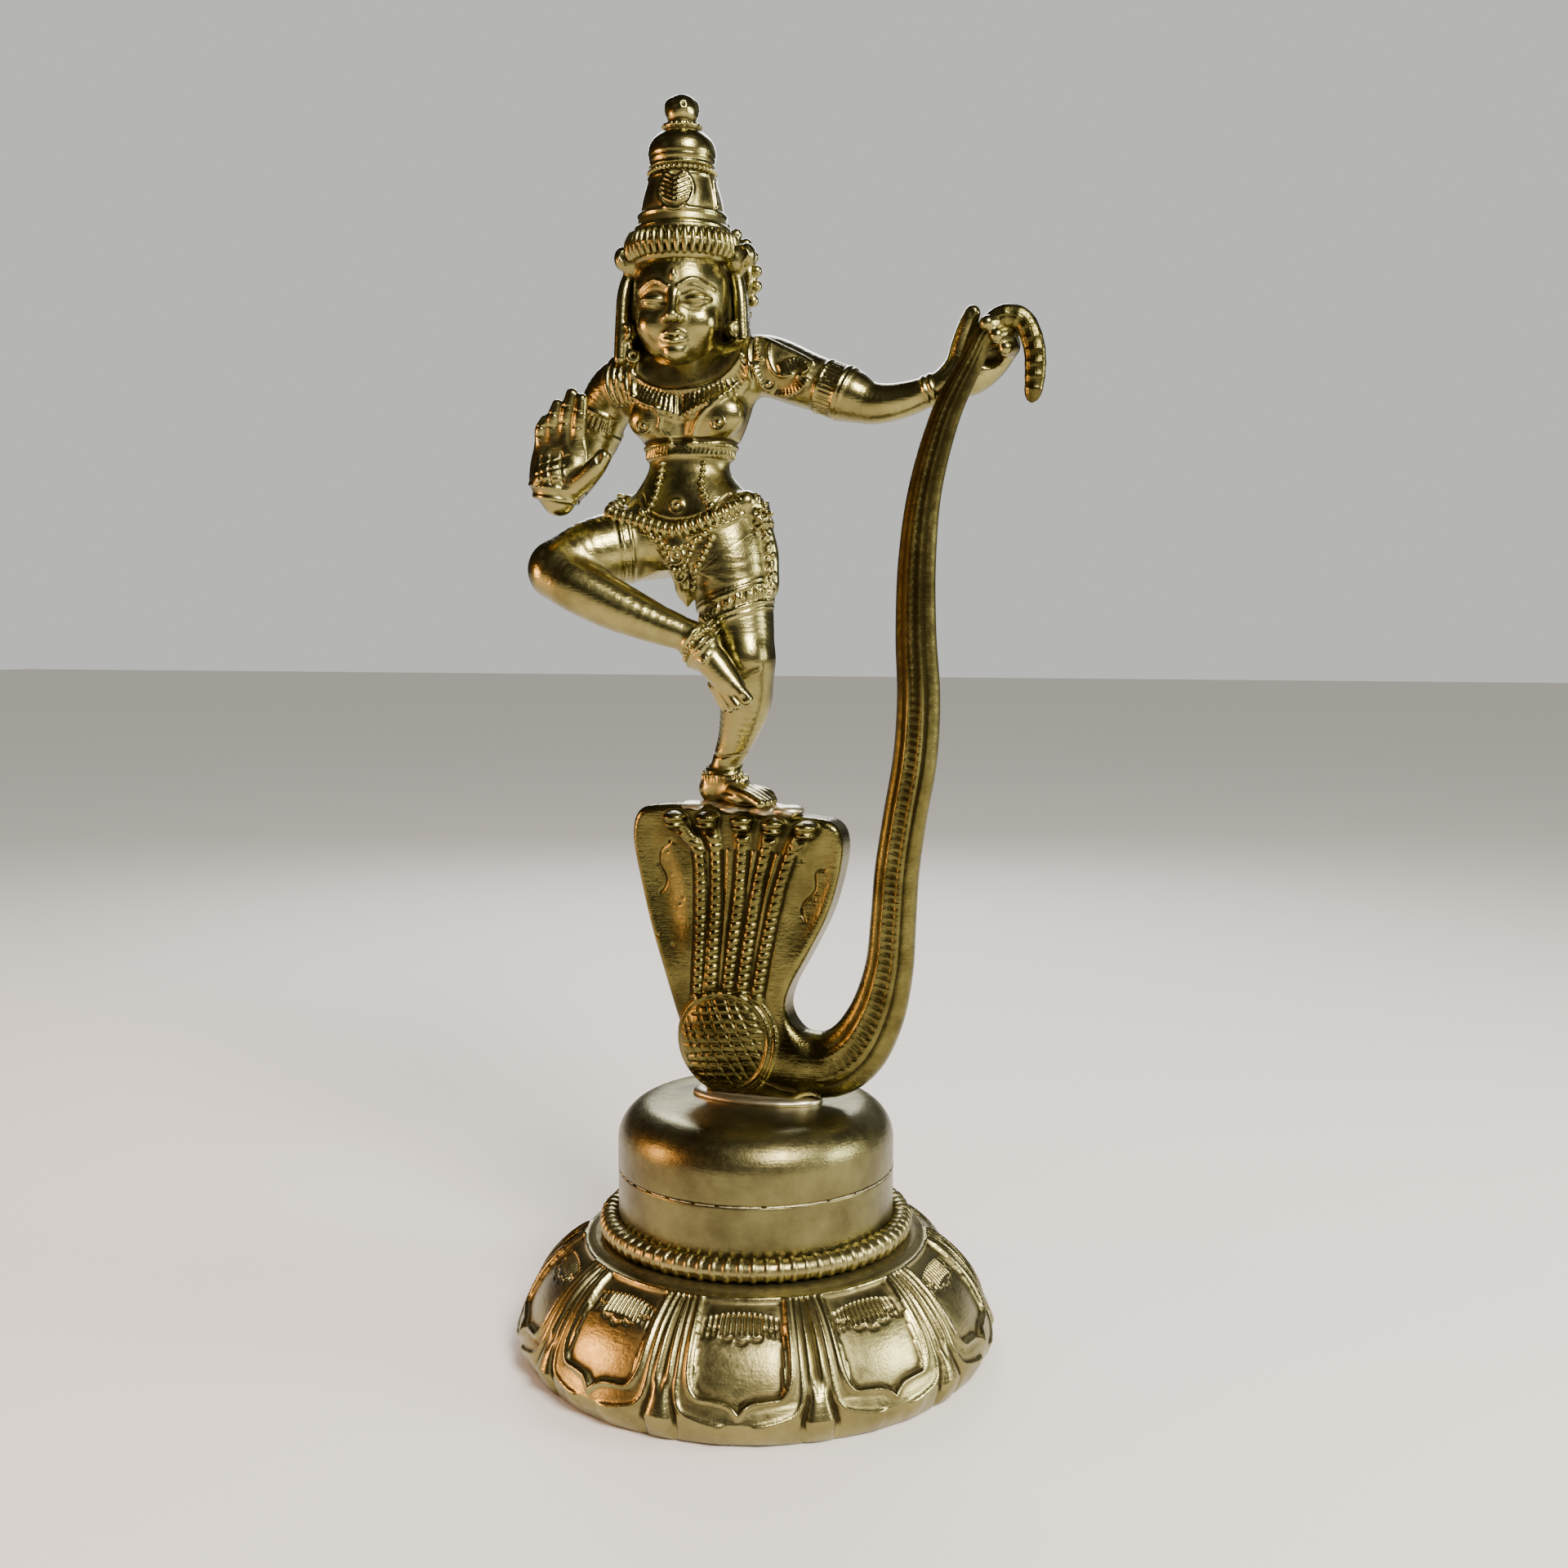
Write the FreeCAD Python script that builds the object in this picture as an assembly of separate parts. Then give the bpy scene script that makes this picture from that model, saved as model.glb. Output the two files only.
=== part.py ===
"""Cast brass figure dancing on a five-headed serpent, on a lotus pedestal.

Millimetres. +Z is up, the figure faces -Y, and the origin is the centre of the round
pedestal on the plane it stands on. Left and right are a viewer's, facing the statue.

The statue is brazed together from separate castings. The domed pedestal cap carries the
serpent, the serpent's hood carries the standing foot, and the left-over length of the tail
rises on the right to the figure's hand. One threaded stud with a washer and a nut pulls the
cap down on to the drum and the lotus base from inside.
"""

import FreeCAD
import Part

import math
import os

V = FreeCAD.Vector
UP = V(0, 0, 1)

# ---------------------------------------------------------------- driving dimensions
WALL = 2.2  # wall of the hollow castings
SLIP = 0.1  # clearance of a piece that slides into another
SEAT_GAP = 0.05  # clearance round a stud or a gripped tail
BRAZE = 0.8  # thickness of the brazing metal between two castings
LOFT_DEGREE = 2  # a low degree keeps a limb from swelling past its end sections

BASE_RADIUS = 38.6  # widest point of the lotus bell
BASE_HEIGHT = 19.0  # standing plane to the shoulder under the rope ring
RIM_TUCK = 1.8  # how far the face that it stands on is drawn in from the widest point
BELL_MIDDLE_OUT = 0.68  # the bell's convex side: a middle point, as shares of its reach ...
BELL_MIDDLE_UP = 0.66  # ... and of its height
BELL_RIM_UP = 0.2  # height of the widest point, as a share of the bell's height
PETALS = 10
PETAL_TURN = 16.0  # degrees from the front to the middle of the first petal
GROOVE_RADIUS = 0.8  # grooves between petals

DRUM_RADIUS = 22.6
DRUM_HEIGHT = 11.2  # bell shoulder to the seam under the cap
RING_WIRE = 1.9  # radius of the rope ring's section
RING_STRANDS = 48

CAP_HEIGHT = 10.8  # seam to the flat top
CAP_SHOULDER = 6.2  # rounding of the cap's top edge
SPIGOT_DEPTH = 3.0  # how far the cap reaches down inside the drum

STUD_RADIUS = 2.5
BOSS_RADIUS = 5.0
WEB_DROP = 4.5  # seam to the top of the drum's web
WASHER_RADIUS = 7.0
WASHER_THICKNESS = 1.2
NUT_ACROSS_FLATS = 8.0
NUT_HEIGHT = 4.0
STUD_END = 3.0  # stud that shows below the nut

HOOD_HEIGHT = 46.2  # serpent's belly to the hood's top edge at the front
HOOD_WIDTH = 36.0
HOOD_X = -3.4  # middle of the hood
HOOD_THICKNESS = 7.0
HOOD_TOP_RISE = 1.2  # how much higher the back of the top edge is
HOOD_EDGE = 1.2
HEADS = 5
HEAD_PITCH = 5.6
HEAD_RADIUS = 1.9
BELLY_WIDTH = 19.0  # hood's width where it stands on the cap
BELLY_X = 0.2

FIGURE_HEIGHT = 112.2  # sole to the tip of the crown
FIGURE_DRAWN = 112.2  # height that the figure's own landmarks are drawn at
FOOT_X = -3.0  # the standing foot's place on the hood
FOOT_LENGTH = 13.0

# ---------------------------------------------------------------- levels that follow
DRUM_Z = BASE_HEIGHT
SEAM_Z = DRUM_Z + DRUM_HEIGHT
CAP_TOP_Z = SEAM_Z + CAP_HEIGHT
BASE_RIM_RADIUS = BASE_RADIUS - RIM_TUCK
BELLY_Z = CAP_TOP_Z + BRAZE
HOOD_Z = BELLY_Z + HOOD_HEIGHT
HOOD_CREST_Z = HOOD_Z + HOOD_TOP_RISE / 2
SOLE_Z = HOOD_CREST_Z + BRAZE
SCALE = FIGURE_HEIGHT / FIGURE_DRAWN


def body(x, y, z):
    """A landmark of the figure: millimetres from the middle of its standing sole."""
    return V(FOOT_X + x * SCALE, y * SCALE, SOLE_Z + z * SCALE)


# ---------------------------------------------------------------- shapes that repeat
def oval(centre, normal, half_width, half_depth, across=V(1, 0, 0)):
    """An elliptical wire round a point, in two halves that meet at the ends of its depth.

    half_width runs as near to 'across' as it can.
    """
    n = V(normal).normalize()
    u = across - n * across.dot(n)
    if u.Length < 0.2:
        u = V(0, 1, 0) - n * n.y
    u.normalize()
    v = n.cross(u)
    quarter = math.pi / 2
    if half_width >= half_depth:
        ellipse = Part.Ellipse(centre + u * half_width, centre + v * half_depth, centre)
        start = quarter
    else:
        ellipse = Part.Ellipse(centre + v * half_depth, centre - u * half_width, centre)
        start = 0.0
    halves = []
    for first in (start, start + 2 * quarter):
        halves.append(Part.ArcOfEllipse(ellipse, first, first + 2 * quarter).toShape())
    return Part.Wire(halves)


def limb(stations, start=None, end=None, across=V(1, 0, 0)):
    """A smooth limb through (point, radius) or (point, half width, half depth) stations.

    start and end turn the two end faces; otherwise each section stands across the path.
    """
    points = [s[0] for s in stations]
    wires = []
    for i, station in enumerate(stations):
        ahead = points[min(i + 1, len(points) - 1)]
        behind = points[max(i - 1, 0)]
        normal = ahead - behind
        if i == 0 and start:
            normal = start
        if i == len(stations) - 1 and end:
            normal = end
        half_width = station[1] * SCALE
        half_depth = station[-1] * SCALE
        wires.append(oval(station[0], normal, half_width, half_depth * 0.999, across))
    return Part.makeLoft(wires, True, False, False, LOFT_DEGREE)


def capsule(a, b, radius_a, radius_b):
    """A finger or toe: a cone with round ends."""
    shape = Part.makeSphere(radius_a, a).fuse(Part.makeSphere(radius_b, b))
    axis = b - a
    return shape.fuse(Part.makeCone(radius_a, radius_b, axis.Length, a, axis)).removeSplitter()


def ellipsoid(centre, rx, ry, rz):
    """An ellipsoid as a stretched sphere."""
    stretch = FreeCAD.Matrix(rx, 0, 0, centre.x, 0, ry, 0, centre.y, 0, 0, rz, centre.z, 0, 0, 0, 1)
    return Part.makeSphere(1.0).transformGeometry(stretch)


def revolved(outline):
    """Turns a closed outline of edges in the XZ plane about Z."""
    face = Part.Face(Part.Wire(Part.__sortEdges__(outline)))
    return face.revolve(V(0, 0, 0), UP, 360)


def line(a, b):
    """An edge between two (radius, height) points."""
    return Part.makeLine(V(a[0], 0, a[1]), V(b[0], 0, b[1]))


def arc(a, middle, b):
    """A round edge through three (radius, height) points."""
    return Part.Arc(*[V(r, 0, z) for r, z in (a, middle, b)]).toShape()


def polygon(points):
    """The closed outline of straight edges through (radius, height) points."""
    return [line(a, b) for a, b in zip(points, points[1:] + points[:1])]


def turned(shape, degrees):
    """A copy turned about the pedestal's axis."""
    copy = shape.copy()
    copy.rotate(V(0, 0, 0), UP, degrees)
    return copy


def block(x0, x1, y0, y1, z0, z1):
    """A box between two corners."""
    return Part.makeBox(x1 - x0, y1 - y0, z1 - z0, V(x0, y0, z0))


# ---------------------------------------------------------------- lotus base
def bell_arc(inset):
    """The bell's convex side, moved inwards by inset, from the shoulder to the rim."""
    shoulder = (DRUM_RADIUS + 2 * RING_WIRE - inset, BASE_HEIGHT - inset)
    reach = BASE_RADIUS - inset - shoulder[0]
    middle = (shoulder[0] + BELL_MIDDLE_OUT * reach, BASE_HEIGHT * BELL_MIDDLE_UP - inset * BELL_MIDDLE_UP)
    rim = (BASE_RADIUS - inset, BASE_HEIGHT * BELL_RIM_UP)
    return shoulder, middle, rim


def lotus_base():
    """The hollow bell, with grooves between its petals and a small knob at each groove's foot."""
    shoulder, middle, rim = bell_arc(0)
    inner_shoulder, inner_middle, inner_rim = bell_arc(WALL)
    bore = DRUM_RADIUS - WALL
    foot = (BASE_RIM_RADIUS, 0)
    inner_foot = (BASE_RIM_RADIUS - WALL, 0)
    shell = revolved(
        [
            line((bore, BASE_HEIGHT), shoulder),
            arc(shoulder, middle, rim),
            line(rim, foot),
            line(foot, inner_foot),
            line(inner_foot, inner_rim),
            arc(inner_rim, inner_middle, inner_shoulder),
            line(inner_shoulder, (bore, inner_shoulder[1])),
            line((bore, inner_shoulder[1]), (bore, BASE_HEIGHT)),
        ]
    )
    path = Part.Wire(arc(shoulder, middle, rim))
    across = Part.Circle(V(shoulder[0], 0, shoulder[1]), path.Edges[0].tangentAt(0), GROOVE_RADIUS)
    groove = Part.Wire(across.toShape())
    cutter = path.makePipeShell([groove], True, True)
    knob = Part.makeSphere(WALL * 0.7, V(BASE_RIM_RADIUS, 0, WALL * 0.9))
    pitch = 360.0 / PETALS
    first = PETAL_TURN + pitch / 2 - 90
    turns = [first + i * pitch for i in range(PETALS)]
    shell = shell.cut([turned(cutter, t) for t in turns])
    shell = shell.fuse([turned(knob, t) for t in turns])
    standing = block(-BASE_RADIUS * 2, BASE_RADIUS * 2, -BASE_RADIUS * 2, BASE_RADIUS * 2, 0, BASE_HEIGHT)
    return shell.common(standing)


# ---------------------------------------------------------------- drum, ring and cap
def pedestal_drum():
    """The plain tube between the bell and the seam, with a web for the stud."""
    inner = DRUM_RADIUS - WALL
    web_top = SEAM_Z - WEB_DROP
    hole = STUD_RADIUS + SEAT_GAP
    return revolved(
        polygon(
            [
                (DRUM_RADIUS, DRUM_Z),
                (DRUM_RADIUS, SEAM_Z),
                (inner, SEAM_Z),
                (inner, web_top),
                (hole, web_top),
                (hole, web_top - WALL),
                (inner, web_top - WALL),
                (inner, DRUM_Z),
            ]
        )
    )


def rope_ring():
    """A ring of rounded strands round the drum's foot, resting on the bell's shoulder."""
    across = DRUM_RADIUS + RING_WIRE
    ring = Part.makeTorus(across, RING_WIRE * 0.86, V(0, 0, DRUM_Z + RING_WIRE))
    strand = Part.makeSphere(RING_WIRE * 0.98, V(across, 0, DRUM_Z + RING_WIRE))
    strands = [turned(strand, i * 360.0 / RING_STRANDS) for i in range(RING_STRANDS)]
    keep = Part.makeCylinder(BASE_RADIUS, RING_WIRE * 2, V(0, 0, DRUM_Z))
    drum = Part.makeCylinder(DRUM_RADIUS, RING_WIRE * 4, V(0, 0, DRUM_Z - RING_WIRE))
    return ring.fuse(strands).common(keep).cut(drum)


def pedestal_cap():
    """The hollow domed cap. Its spigot slips into the drum, and its boss takes the stud."""
    spigot = DRUM_RADIUS - WALL - SLIP
    inside = spigot - WALL
    ceiling = CAP_TOP_Z - WALL
    flat = DRUM_RADIUS - CAP_SHOULDER
    bend = CAP_SHOULDER * (1 - math.sqrt(0.5))
    bore = STUD_RADIUS + SEAT_GAP
    bore_top = ceiling - WALL / 2
    foot = SEAM_Z - SPIGOT_DEPTH
    outline = [
        line((0, CAP_TOP_Z), (flat, CAP_TOP_Z)),
        arc((flat, CAP_TOP_Z), (DRUM_RADIUS - bend, CAP_TOP_Z - bend), (DRUM_RADIUS, CAP_TOP_Z - CAP_SHOULDER)),
        line((DRUM_RADIUS, CAP_TOP_Z - CAP_SHOULDER), (DRUM_RADIUS, SEAM_Z)),
        line((DRUM_RADIUS, SEAM_Z), (spigot, SEAM_Z)),
        line((spigot, SEAM_Z), (spigot, foot)),
        line((spigot, foot), (inside, foot)),
        line((inside, foot), (inside, ceiling - CAP_SHOULDER / 2)),
        line((inside, ceiling - CAP_SHOULDER / 2), (inside - CAP_SHOULDER / 2, ceiling)),
        line((inside - CAP_SHOULDER / 2, ceiling), (BOSS_RADIUS, ceiling)),
        line((BOSS_RADIUS, ceiling), (BOSS_RADIUS, foot)),
        line((BOSS_RADIUS, foot), (bore, foot)),
        line((bore, foot), (bore, bore_top)),
        line((bore, bore_top), (0, bore_top)),
        line((0, bore_top), (0, CAP_TOP_Z)),
    ]
    return revolved(outline)


# ---------------------------------------------------------------- hidden fastening
WEB_UNDERSIDE_Z = SEAM_Z - WEB_DROP - WALL
WASHER_Z = WEB_UNDERSIDE_Z - WASHER_THICKNESS
NUT_Z = WASHER_Z - NUT_HEIGHT


def fixing_stud():
    """The stud screwed up into the cap's boss. Its thread is left plain."""
    top = CAP_TOP_Z - WALL * 1.5 - SEAT_GAP
    foot = NUT_Z - STUD_END
    stud = Part.makeCylinder(STUD_RADIUS, top - foot, V(0, 0, foot))
    rims = [e for e in stud.Edges if abs(e.BoundBox.ZLength) < SEAT_GAP]
    return stud.makeChamfer(STUD_RADIUS / 5, rims)


def fixing_washer():
    """A plain washer under the drum's web."""
    disc = Part.makeCylinder(WASHER_RADIUS, WASHER_THICKNESS, V(0, 0, WASHER_Z))
    return disc.cut(Part.makeCylinder(STUD_RADIUS + SEAT_GAP, WASHER_THICKNESS, V(0, 0, WASHER_Z)))


def fixing_nut():
    """A hexagon nut on the stud."""
    corner = NUT_ACROSS_FLATS / math.sqrt(3)
    points = [V(corner, 0, NUT_Z)]
    for i in range(1, 7):
        turn = math.radians(60 * i)
        points.append(V(corner * math.cos(turn), corner * math.sin(turn), NUT_Z))
    prism = Part.Face(Part.makePolygon(points)).extrude(V(0, 0, NUT_HEIGHT))
    return prism.cut(Part.makeCylinder(STUD_RADIUS + SEAT_GAP, NUT_HEIGHT, V(0, 0, NUT_Z)))


# ---------------------------------------------------------------- serpent
TAIL_JOIN_X = BELLY_X + BELLY_WIDTH / 2  # upright face where the tail leaves the belly
TAIL_JOIN_Z = BELLY_Z + 5.4


def serpent_braze():
    """The oval of brazing metal between the serpent's belly and the cap."""
    middle = V(BELLY_X, 0, CAP_TOP_Z)
    outline = oval(middle, UP, BELLY_WIDTH / 2 + BRAZE, HOOD_THICKNESS / 2 + 2 * BRAZE)
    return Part.Face(outline).extrude(V(0, 0, BRAZE))


def hood_plate():
    """The spread hood, narrow at the belly, with its top edge sloping up to the back."""
    half = HOOD_WIDTH / 2
    belly_left = BELLY_X - BELLY_WIDTH / 2
    height = HOOD_HEIGHT
    left = [
        V(belly_left, 0, BELLY_Z),
        V(HOOD_X - half * 0.60, 0, BELLY_Z + height * 0.29),
        V(HOOD_X - half * 0.86, 0, BELLY_Z + height * 0.60),
        V(HOOD_X - half, 0, BELLY_Z + height * 0.84),
        V(HOOD_X - half * 0.90, 0, HOOD_Z + HOOD_TOP_RISE),
    ]
    right = [
        V(HOOD_X + half * 0.86, 0, HOOD_Z + HOOD_TOP_RISE),
        V(HOOD_X + half, 0, BELLY_Z + height * 0.84),
        V(HOOD_X + half * 0.78, 0, BELLY_Z + height * 0.60),
        V(HOOD_X + half * 0.50, 0, BELLY_Z + height * 0.36),
        V(TAIL_JOIN_X, 0, TAIL_JOIN_Z + 4.6),
    ]
    edges = []
    for points in (left, right):
        side = Part.BSplineCurve()
        side.interpolate(points)
        edges.append(side.toShape())
    corner = V(TAIL_JOIN_X, 0, BELLY_Z)
    edges.insert(1, Part.makeLine(left[-1], right[0]))
    edges.append(Part.makeLine(right[-1], corner))
    edges.append(Part.makeLine(corner, left[0]))
    face = Part.Face(Part.Wire(edges))
    face.translate(V(0, -HOOD_THICKNESS / 2, 0))
    plate = face.extrude(V(0, HOOD_THICKNESS, 0))
    rise = HOOD_TOP_RISE
    slope = Part.makePolygon(
        [
            V(-HOOD_WIDTH * 2, -HOOD_THICKNESS, HOOD_Z - rise / 2),
            V(-HOOD_WIDTH * 2, HOOD_THICKNESS, HOOD_Z + rise * 1.5),
            V(-HOOD_WIDTH * 2, HOOD_THICKNESS, HOOD_Z + rise * 4),
            V(-HOOD_WIDTH * 2, -HOOD_THICKNESS, HOOD_Z + rise * 4),
            V(-HOOD_WIDTH * 2, -HOOD_THICKNESS, HOOD_Z - rise / 2),
        ]
    )
    above = Part.Face(slope).extrude(V(HOOD_WIDTH * 4, 0, 0))
    seat = block(
        FOOT_X - FOOT_LENGTH, FOOT_X + FOOT_LENGTH, -HOOD_THICKNESS, HOOD_THICKNESS, HOOD_CREST_Z, HOOD_Z + 4 * rise
    )
    return plate.cut(above).cut(seat)


def serpent_hood():
    """The hood with five necks that end in heads, and the scaled oval above the belly."""
    front = -HOOD_THICKNESS / 2
    shape = hood_plate()
    raised = []
    for i in range(HEADS):
        step = i - (HEADS - 1) / 2
        head_x = HOOD_X + 1.2 + step * HEAD_PITCH
        root_x = HOOD_X + 1.2 + step * HEAD_PITCH * 0.45
        top = V(head_x, front, HOOD_Z - HEAD_RADIUS)
        root = V(root_x, front, BELLY_Z + HOOD_HEIGHT * 0.36)
        raised.append(capsule(root, top, HEAD_RADIUS * 0.55, HEAD_RADIUS * 0.7))
        raised.append(ellipsoid(top, HEAD_RADIUS, HEAD_RADIUS, HEAD_RADIUS * 0.7))
    medallion = ellipsoid(V(HOOD_X + 0.6, front, BELLY_Z + 8.4), 7.4, 3.0, 8.2)
    raised.append(medallion)
    return shape.fuse(raised).removeSplitter()


# Where the hand grips the tail, and how far the tail leans from a straight line up to it:
# (share of the rise, lean, half width).
GRIP = body(38.8, -3.4, 68.2)
TAIL_RISE = [
    (0.0, 0.0, 3.8),
    (0.16, -0.4, 3.6),
    (0.32, 0.2, 3.4),
    (0.45, 0.4, 3.1),
    (0.56, -0.6, 2.8),
    (0.68, -2.7, 2.6),
    (0.80, -3.5, 2.4),
    (0.91, -2.5, 2.1),
    (1.0, 0.0, 1.8),
]
TAIL_DEPTH = 0.72  # depth of the tail as a share of its width
TAIL_COIL = [  # from the belly round the bend: (along x, up, half width)
    (0.0, 0.0, 5.2),
    (4.6, 1.0, 4.9),
    (8.4, 4.6, 4.4),
]
TAIL_BEND_X = 10.6
TAIL_BEND_Z = 12.0
HOOK = [  # tail past the grip, from the grip: (point, half width)
    (V(1.6, 0.2, 3.6), 1.6),
    (V(4.2, 0.4, 6.2), 1.5),
    (V(7.4, 0.4, 5.4), 1.5),
    (V(9.0, 0.4, 1.6), 1.5),
    (V(9.2, 0.4, -2.8), 1.4),
    (V(8.8, 0.4, -7.0), 0.9),
]


def tail_stations(extra=0.0):
    """(point, half width, half depth) along the tail, from the belly to its tip."""
    stations = []
    for along, up, half in TAIL_COIL:
        stations.append((V(TAIL_JOIN_X + along, 0, TAIL_JOIN_Z + up), half))
    start = V(TAIL_JOIN_X + TAIL_BEND_X, 0, TAIL_JOIN_Z + TAIL_BEND_Z)
    for share, lean, half in TAIL_RISE:
        point = start + (GRIP - start) * share
        stations.append((V(point.x + lean, point.y, point.z), half))
    for offset, half in HOOK:
        stations.append((GRIP + offset * SCALE, half))
    return [(p, half + extra, half * TAIL_DEPTH + extra) for p, half in stations]


def serpent_tail(extra=0.0):
    """The tail: out of the belly, up beside the figure, through the hand and over."""
    stations = tail_stations(extra)
    wires = []
    for i, (point, half_width, half_depth) in enumerate(stations):
        ahead = stations[min(i + 1, len(stations) - 1)][0]
        behind = stations[max(i - 1, 0)][0]
        normal = V(1, 0, 0) if i == 0 else ahead - behind
        side = normal.cross(V(0, 1, 0))
        wires.append(oval(point, normal, half_width, half_depth, side))
    return Part.makeLoft(wires, True, False, False, LOFT_DEGREE)


# ---------------------------------------------------------------- figure
HIP_PLANE = 41.2  # figure heights of the flat joints between castings
WAIST_PLANE = 54.0
NECK_PLANE = 71.5
CROWN_PLANE = 86.0
LEFT_SHOULDER = -19.4
RIGHT_SHOULDER = 2.6
THIGH_PLANE = -15.0
HALO_PLANE = 6.6
HEAD_X = -9.2  # upright axis of head and crown
WHEEL_Y = 10.4
WHEEL_RADIUS = 8.6
WHEEL_THICKNESS = 1.6
WHEEL_LOBES = 16
WHEEL_LOBE_RADIUS = 1.0


def foot_braze():
    """The puddle of brazing metal under the standing foot."""
    half_depth = HOOD_THICKNESS / 2 - HOOD_EDGE
    outline = oval(V(FOOT_X, 0, HOOD_CREST_Z), UP, FOOT_LENGTH / 2 + BRAZE, half_depth)
    return Part.Face(outline).extrude(V(0, 0, BRAZE))


def standing_leg():
    """The bent standing leg, with its foot flat on the hood."""
    leg = limb(
        [
            (body(-4.4, 0.0, HIP_PLANE), 7.0, 6.2),
            (body(0.4, -1.0, 32.0), 6.0),
            (body(3.0, -2.2, 23.6), 4.3),
            (body(1.6, -0.6, 16.0), 4.0),
            (body(-1.4, 0.9, 9.4), 2.8),
            (body(-3.0, 1.2, 5.0), 2.5),
            (body(-3.4, 1.2, 1.0), 2.6),
        ],
        start=UP * -1,
        end=UP * -1,
    )
    foot = limb(
        [
            (body(-5.4, 1.8, 1.9), 1.7, 1.7),
            (body(-2.6, 0.8, 2.2), 2.2, 2.2),
            (body(1.4, -0.7, 1.6), 2.6, 1.6),
            (body(5.6, -2.4, 1.0), 2.8, 1.0),
        ],
        across=V(0.36, 0.93, 0),
    )
    above_sole = block(-200, 200, -200, 200, SOLE_Z, SOLE_Z + FIGURE_HEIGHT)
    return leg.fuse(foot).common(above_sole)


def raised_leg():
    """The lifted leg: thigh out to the left, shin back across, foot pointing down."""
    thigh = limb(
        [
            (body(THIGH_PLANE, -1.0, 41.6), 5.6, 6.0),
            (body(-20.0, -5.0, 41.0), 5.2),
            (body(-25.0, -9.8, 38.4), 4.8),
            (body(-27.0, -11.6, 36.8), 3.6),
        ],
        start=V(-1, 0, 0),
        across=V(0, 1, 0),
    )
    shin = limb(
        [
            (body(-27.0, -12.0, 37.8), 3.4),
            (body(-23.4, -12.2, 35.6), 4.4),
            (body(-16.0, -11.4, 31.8), 3.9),
            (body(-8.4, -10.2, 28.0), 2.9),
            (body(-2.6, -9.2, 25.2), 2.4),
        ]
    )
    foot = limb(
        [
            (body(-3.4, -8.8, 28.6), 1.9, 1.7),
            (body(-1.6, -9.0, 25.4), 2.4, 2.1),
            (body(1.6, -9.4, 21.2), 2.2, 1.7),
            (body(4.6, -9.8, 17.4), 1.9, 1.2),
        ],
        across=V(0, 1, 0),
    )
    return thigh.fuse([shin, foot])


def torso():
    """Hips, waist and chest, with flat faces where limbs, head and legs join."""
    trunk = limb(
        [
            (body(-7.4, 0.0, HIP_PLANE), 11.6, 7.0),
            (body(-8.8, 0.0, 45.6), 11.8, 7.2),
            (body(-8.4, 0.0, 50.0), 8.8, 6.0),
            (body(-8.2, 0.0, WAIST_PLANE), 6.6, 4.8),
            (body(-7.6, 0.0, 59.6), 8.9, 5.6),
            (body(-8.2, 0.0, 64.4), 11.0, 5.8),
            (body(-8.6, 0.4, 68.6), 11.8, 5.0),
            (body(-8.8, 0.6, NECK_PLANE), 9.0, 4.2),
        ],
        start=UP,
        end=UP,
    )
    outside = (-200, 200)
    waist = body(0, 0, WAIST_PLANE).z
    for x0, x1, z0, z1 in (
        (outside[0], body(LEFT_SHOULDER, 0, 0).x, waist, 2 * SOLE_Z),
        (body(RIGHT_SHOULDER, 0, 0).x, outside[1], waist, 2 * SOLE_Z),
        (outside[0], body(THIGH_PLANE, 0, 0).x, 0, waist),
    ):
        trunk = trunk.cut(block(x0, x1, *outside, z0, z1))
    return trunk


def head():
    """Neck and head under the crown, with a flat back for the halo wheel."""
    neck_foot = body(HEAD_X, 0.0, NECK_PLANE)
    neck = Part.makeCylinder(4.2 * SCALE, 8 * SCALE, neck_foot)
    skull = ellipsoid(body(HEAD_X, -1.2, 80.0), 8.9 * SCALE, 8.8 * SCALE, 10.6 * SCALE)
    locks = []
    for side in (-1, 1):
        temple = body(HEAD_X + side * 9.6, 1.2, 83.4)
        shoulder = body(HEAD_X + side * 10.6, 1.8, 75.0)
        locks.append(capsule(temple, shoulder, 2.0 * SCALE, 2.4 * SCALE))
    top = body(0, 0, CROWN_PLANE).z
    back = body(0, HALO_PLANE, 0).y
    keep = block(-200, 200, -200, back, neck_foot.z, top)
    return neck.fuse([skull] + locks).common(keep)


def crown():
    """The tall stepped crown, turned about its own upright axis."""
    profile = [
        (0.0, CROWN_PLANE),
        (9.0, CROWN_PLANE),
        (9.9, 88.3),
        (9.0, 90.6),
        (8.0, 91.2),
        (7.6, 93.6),
        (5.4, 101.0),
        (5.0, 102.6),
        (5.8, 104.0),
        (5.6, 105.4),
        (3.2, 106.2),
        (3.4, 107.6),
        (2.4, 108.4),
        (3.0, 109.8),
        (1.6, 111.6),
        (0.0, FIGURE_DRAWN),
    ]
    shape = revolved(polygon([(r * SCALE, z * SCALE) for r, z in profile]))
    axis = body(HEAD_X, 0.0, 0.0)
    shape.translate(axis)
    return shape


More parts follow.
